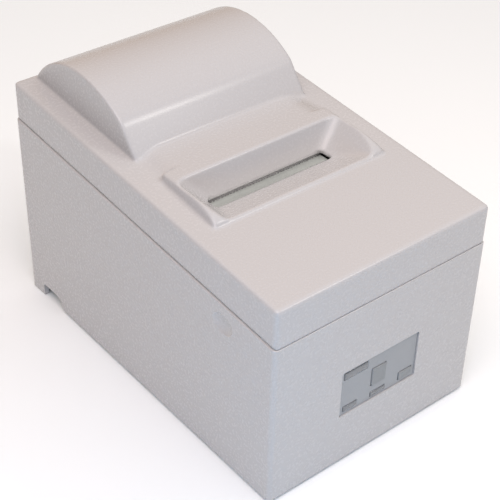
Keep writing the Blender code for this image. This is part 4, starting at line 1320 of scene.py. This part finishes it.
def cartridge():
    """Ribbon cassette: body with a parting line and sunk panel, arms, and a collar for the knob."""
    centre = (KNOB_X, KNOB_Y)
    low, top = CARTRIDGE_Z
    arm_top = top - 6

    def outline(out, radius):
        """Outline of the body, moved outwards."""
        return rounded(about(0.0, CARTRIDGE_HALF + out), grown(CARTRIDGE_Y, out), radius)

    body = prism(outline(0.0, 4.0), "Z", low, top)
    arms = []
    seams = []
    for side in (-1, 1):
        arm = rounded(span(side, CARTRIDGE_HALF - 6.9, CARTRIDGE_HALF), (-75, -24), 2.5)
        arms.append(prism(arm, "Z", low, arm_top))
        seams.append(box(span(side, 52.8, 53.4), (-76, -20), (low + 0.6, arm_top - 0.6)))
    collar = cylinder("Z", centre, 9.3, top - 0.5, top + 0.3, 64)
    loop = prism(outline(1.0, 5.0), "Z", 105.2, 105.7)
    keep = prism(outline(-0.5, 3.6), "Z", 105.0, 106.0)
    sunk = prism(rounded((-30, 50), (-100, -78), 2.0), "Z", top - 0.7, top + 1)
    tools = [cut(loop, keep), sunk, cylinder("Z", centre, 2.1, top - 10, top + 2), *seams]
    block = cut(join(join(body, *arms), collar), *tools)
    new_piece("cartridge_body", block, "case", "black_plastic", "ribbon_cartridge", edge=0.45, angle=40)
    ribs = []
    for x in range(-26, 46, 8):
        ribs.append(prism(rounded((x, x + 1.2), (-97, -81), 0.5), "Z", top - 0.8, top - 0.2))
    new_piece("cartridge_ribs", gathered(*ribs), "case", "black_plastic")


def knob():
    """Ribbed knob with a sunk top and an arrow-like grip bar."""
    centre = (KNOB_X, KNOB_Y)
    rib = ((-0.8, -0.3), (-0.1, -0.18), (0.0, 0.0), (-0.1, 0.18), (-0.8, 0.3))
    cap = prism(toothed(centre, 8.0, 16, rib), "Z", 110.4, 116.0)
    ring = ((6.2, 114.8), (6.2, 117), (2.6, 117), (2.6, 114.8))
    sunk = turned("Z", centre, ring, 48, capped=False)
    stem = cylinder("Z", centre, 2.0, 101, 111)
    bar = prism(rounded(about(KNOB_X, 6.4), about(KNOB_Y, 0.9), 0.5), "Z", 114.0, 115.9)
    cap = join(cut(join(cap, stem), sunk), bar)
    new_piece("knob_cap", cap, "ribbon_knob", "black_plastic", "ribbon_knob", edge=0.3, angle=40)


# ---- frame and paper path

def tray():
    """Roll bed with shallow grooves along its trough."""
    wall, trough, grooves, groove_pitch = 3.0, 40.5, 9, 9.0
    low, top = TRAY_Z
    block = prism(rounded(about(0.0, TRAY_HALF), TRAY_Y, 2.0), "Z", low, top)
    tools = [cylinder("X", ROLL_CENTRE, ROLL_R, -trough, trough, 128)]
    for i in range(grooves):
        at = groove_pitch * (i - (grooves - 1) / 2)
        tools.append(cylinder("X", ROLL_CENTRE, ROLL_R + 0.8, at - 2.6, at + 2.6, 128))
    under = box(about(0.0, TRAY_HALF - wall), grown(TRAY_Y, -wall), (low - 6, top - wall))
    skin = cylinder("X", ROLL_CENTRE, ROLL_R + 2.5, -trough - 2.5, trough + 2.5, 96)
    tools.append(cut(under, skin))
    posts = []
    for side in (-1, 1):
        foot_x = span(side, TRAY_HALF - 10, TRAY_HALF - 0.5)
        posts.append(box(foot_x, (22, 30), (62.3, low + 4)))
        posts.append(box(foot_x, (106, 113), (48.8, low + 4)))
    bed = join(cut(block, *tools), *posts)
    new_piece("tray_bed", bed, "case", "inner_plastic", "paper_tray", edge=0.5)


def lever():
    """Release lever: turned hub, tapered arm and ribbed grip."""
    y, z = LEVER_PIVOT
    hub = turned("X", LEVER_PIVOT, barrel_of(5.0, -65.5, -61.0, 0.4))
    arm = prism([(y - 2.8, z), (y + 2.8, z), (y - 9.8, z + 17), (y - 14.2, z + 17)], "X", -64.5, -62.0)
    grip = turned("X", (y - 12.0, z + 18.0), barrel_of(3.4, -66.0, -61.0, 0.6))
    shape = cut(join(hub, arm, grip), cylinder("X", LEVER_PIVOT, 2.1, -70, -58))
    new_piece("lever_arm", shape, "release_lever", "black_plastic", "release_lever", edge=0.3, angle=40)


def rod(name, centre, radius, edge, ends, segments):
    """Shaft along x with bevelled ends."""
    near, far = ends
    profile = ((radius - edge, near), (radius, near + edge), (radius, far - edge), (radius - edge, far))
    new_piece(name + "_rod", turned("X", centre, profile, segments), "case", "steel", name)


def shafts():
    for y, label in zip(SHAFT_Y, ("front", "rear")):
        rod("guide_shaft_" + label, (y, SHAFT_Z), SHAFT_R, 0.5, (-60.5, 60.5), 64)
    for side, label in SIDES:
        rod("hinge_pin_" + label, (HINGE_Y, HINGE_Z), 1.5, 0.4, span(side, 46.0, 66.0), 48)


def capacitor():
    """Sleeved can with a rolled edge and a scored aluminium top."""
    x, y, (low, high) = mm_box("smoothing_capacitor")
    centre = (middle(x), middle(y))
    r = (x[1] - x[0]) / 2
    profile = ((r, low), (r, low + 1.5), (r - 0.7, low + 2.2), (r, low + 2.9), (r, high - 1.2),
               (r - 0.3, high - 0.5), (r - 1.0, high - 0.3))
    sleeve = turned("Z", centre, profile)
    new_piece("capacitor_sleeve", sleeve, "case", "black_plastic", "smoothing_capacitor")
    top = turned("Z", centre, ((r - 1.2, high - 0.5), (r - 1.2, high - 0.1), (r - 1.6, high)))
    top = cut(top, *cross_of(centre, 5.0, 0.2, (high - 0.15, high + 1)))
    new_piece("capacitor_top", top, "case", "aluminium")


# ---- carried-over nodes

# CAD nodes whose shape is already the finished one: look and width of the rounded edges
KEPT = {
    "tear_bar": ("tear_steel", 0.08),
    "base_plate": ("steel", 0.3),
    "main_board": ("pcb_green", 0.15),
    "panel_board": ("pcb_green", 0.15),
    "heat_sink": ("aluminium", 0.25),
    "inner_chassis": ("steel", 0.4),
    "side_plate_left": ("steel", 0.25),
    "side_plate_right": ("steel", 0.25),
    "paper_guide": ("inner_plastic", 0.2),
    "platen": ("black_plastic", 0.4),
    "ribbon": ("ribbon_fabric", 0.05),
}

lid()
paper_lip()
case()
panel()
for lens_name in LENSES:
    lens(lens_name)
for button_name in BUTTONS:
    button(button_name)
screws()
for foot_name in ("foot_front_left", "foot_front_right", "foot_rear_left", "foot_rear_right"):
    foot(foot_name)
switch()
connector("interface_connector")
round_jack("power_jack")
phone_jack("drawer_jack")
gears()
roller("feed_roller", FEED_AXIS, 3.0, 6.0, 42.0, (-60.5, 66.4), 3)
roller("pinch_roller", PINCH_AXIS, 2.5, 5.9, 40.0, (-60.5, 60.5), 2)
motors()
pulley("drive_pulley", -1)
pulley("idler_pulley", 1)
belt()
carriage()
head()
cartridge()
knob()
tray()
lever()
shafts()
capacitor()
for node_name, (node_slot, node_edge) in KEPT.items():
    finish_node(node_name, node_slot, node_edge)


# ---- stage

WORLD_TOP = (1.16, 1.15, 1.15)
WORLD_FRONT = (0.01, 0.01, 0.02)
WORLD_REAR = (0.38, 0.21, 0.07)
BACKDROP = (0.88, 0.87, 0.86)
FLOOR_COLOUR = (0.95, 0.98, 0.99)
FLOOR_DROP = 0.1
FLOOR_REACH = 6000.0

# Camera in millimetres and degrees
CAMERA_PLACE = (-387.43, -474.81, 524.4)
CAMERA_AZIMUTH = -39.8
CAMERA_ELEVATION = 36.8
CAMERA_ROLL = 1.4
CAMERA_LENS = 91.27

# Lights: name, place, target and size in metres, power in watts, colour
LIGHTS = (
    ("key", (-0.35, -0.40, 1.05), (0, 0, 0.1), 0.8, 5.4, (1.0, 0.85, 0.85)),
    ("glint", (0.30, -0.385, 0.60), (-0.02, 0.03, 0.16), 0.06, 0.65, (1.0, 0.97, 0.92)),
    ("corner", (-0.28, -0.34, 0.14), (-0.05, -0.08, 0.08), 0.12, 0.2, (0.05, 0.5, 1.0)),
)


def camera():
    """View from the front left, above the printer."""
    azimuth = math.radians(CAMERA_AZIMUTH)
    elevation = math.radians(CAMERA_ELEVATION)
    roll = math.radians(CAMERA_ROLL)
    back = Vector((
        math.sin(azimuth) * math.cos(elevation),
        -math.cos(azimuth) * math.cos(elevation),
        math.sin(elevation),
    ))
    right = Vector((math.cos(azimuth), math.sin(azimuth), 0.0))
    up = back.cross(right)
    tilted_right = math.cos(roll) * right + math.sin(roll) * up
    tilted_up = math.cos(roll) * up - math.sin(roll) * right
    data = bpy.data.cameras.new("camera")
    data.lens = CAMERA_LENS
    data.sensor_width = 36.0
    eye = bpy.data.objects.new("camera", data)
    turn = Matrix((tilted_right, tilted_up, back)).transposed().to_4x4()
    eye.matrix_world = Matrix.Translation(Vector(CAMERA_PLACE) * MM) @ turn
    bpy.context.scene.collection.objects.link(eye)
    bpy.context.scene.camera = eye


def area_light(name, place, target, size, power, colour):
    data = bpy.data.lights.new(name, "AREA")
    data.shape = "DISK"
    data.size = size
    data.energy = power
    data.color = colour
    lamp = bpy.data.objects.new(name, data)
    lamp.location = place
    lamp.rotation_euler = (Vector(target) - Vector(place)).to_track_quat("-Z", "Y").to_euler()
    bpy.context.scene.collection.objects.link(lamp)


def world():
    """Studio surround: bright above, warm behind, dark in front, with a pale backdrop in view."""
    made = bpy.data.worlds.new("studio")
    made.use_nodes = True
    nodes = Nodes(made.node_tree)
    direction = nodes.tree.nodes.new("ShaderNodeTexCoord").outputs["Generated"]
    parts = nodes.tree.nodes.new("ShaderNodeSeparateXYZ")
    nodes.link(direction, parts.inputs["Vector"])
    above = nodes.ramp(parts.outputs["Z"], 0.2, 0.9, 0.0, 1.0, "SMOOTHSTEP")
    behind = nodes.ramp(parts.outputs["Y"], 0.15, 0.9, 0.0, 1.0, "SMOOTHSTEP")
    sky = nodes.mix(behind, nodes.mix(above, WORLD_FRONT, WORLD_TOP), WORLD_REAR)
    seen = nodes.tree.nodes.new("ShaderNodeLightPath").outputs["Is Camera Ray"]
    background = nodes.tree.nodes["Background"]
    nodes.link(nodes.mix(seen, sky, BACKDROP), background.inputs["Color"])
    background.inputs["Strength"].default_value = 1.0
    bpy.context.scene.world = made


def floor():
    """Pale ground just below the feet, so that their soles don't share its plane."""
    shape = bmesh.new()
    bmesh.ops.create_grid(shape, x_segments=1, y_segments=1, size=FLOOR_REACH)
    mesh = to_mesh("floor", shape)
    ground = bpy.data.objects.new("floor", mesh)
    ground.location.z = -FLOOR_DROP * MM
    bpy.context.scene.collection.objects.link(ground)
    look = bpy.data.materials.new("floor")
    look.use_nodes = True
    shader = look.node_tree.nodes["Principled BSDF"]
    shader.inputs["Base Color"].default_value = (*FLOOR_COLOUR, 1.0)
    shader.inputs["Roughness"].default_value = 0.9
    mesh.materials.append(look)


camera()
for light in LIGHTS:
    area_light(*light)
world()
floor()
bpy.context.scene.view_settings.view_transform = "Standard"
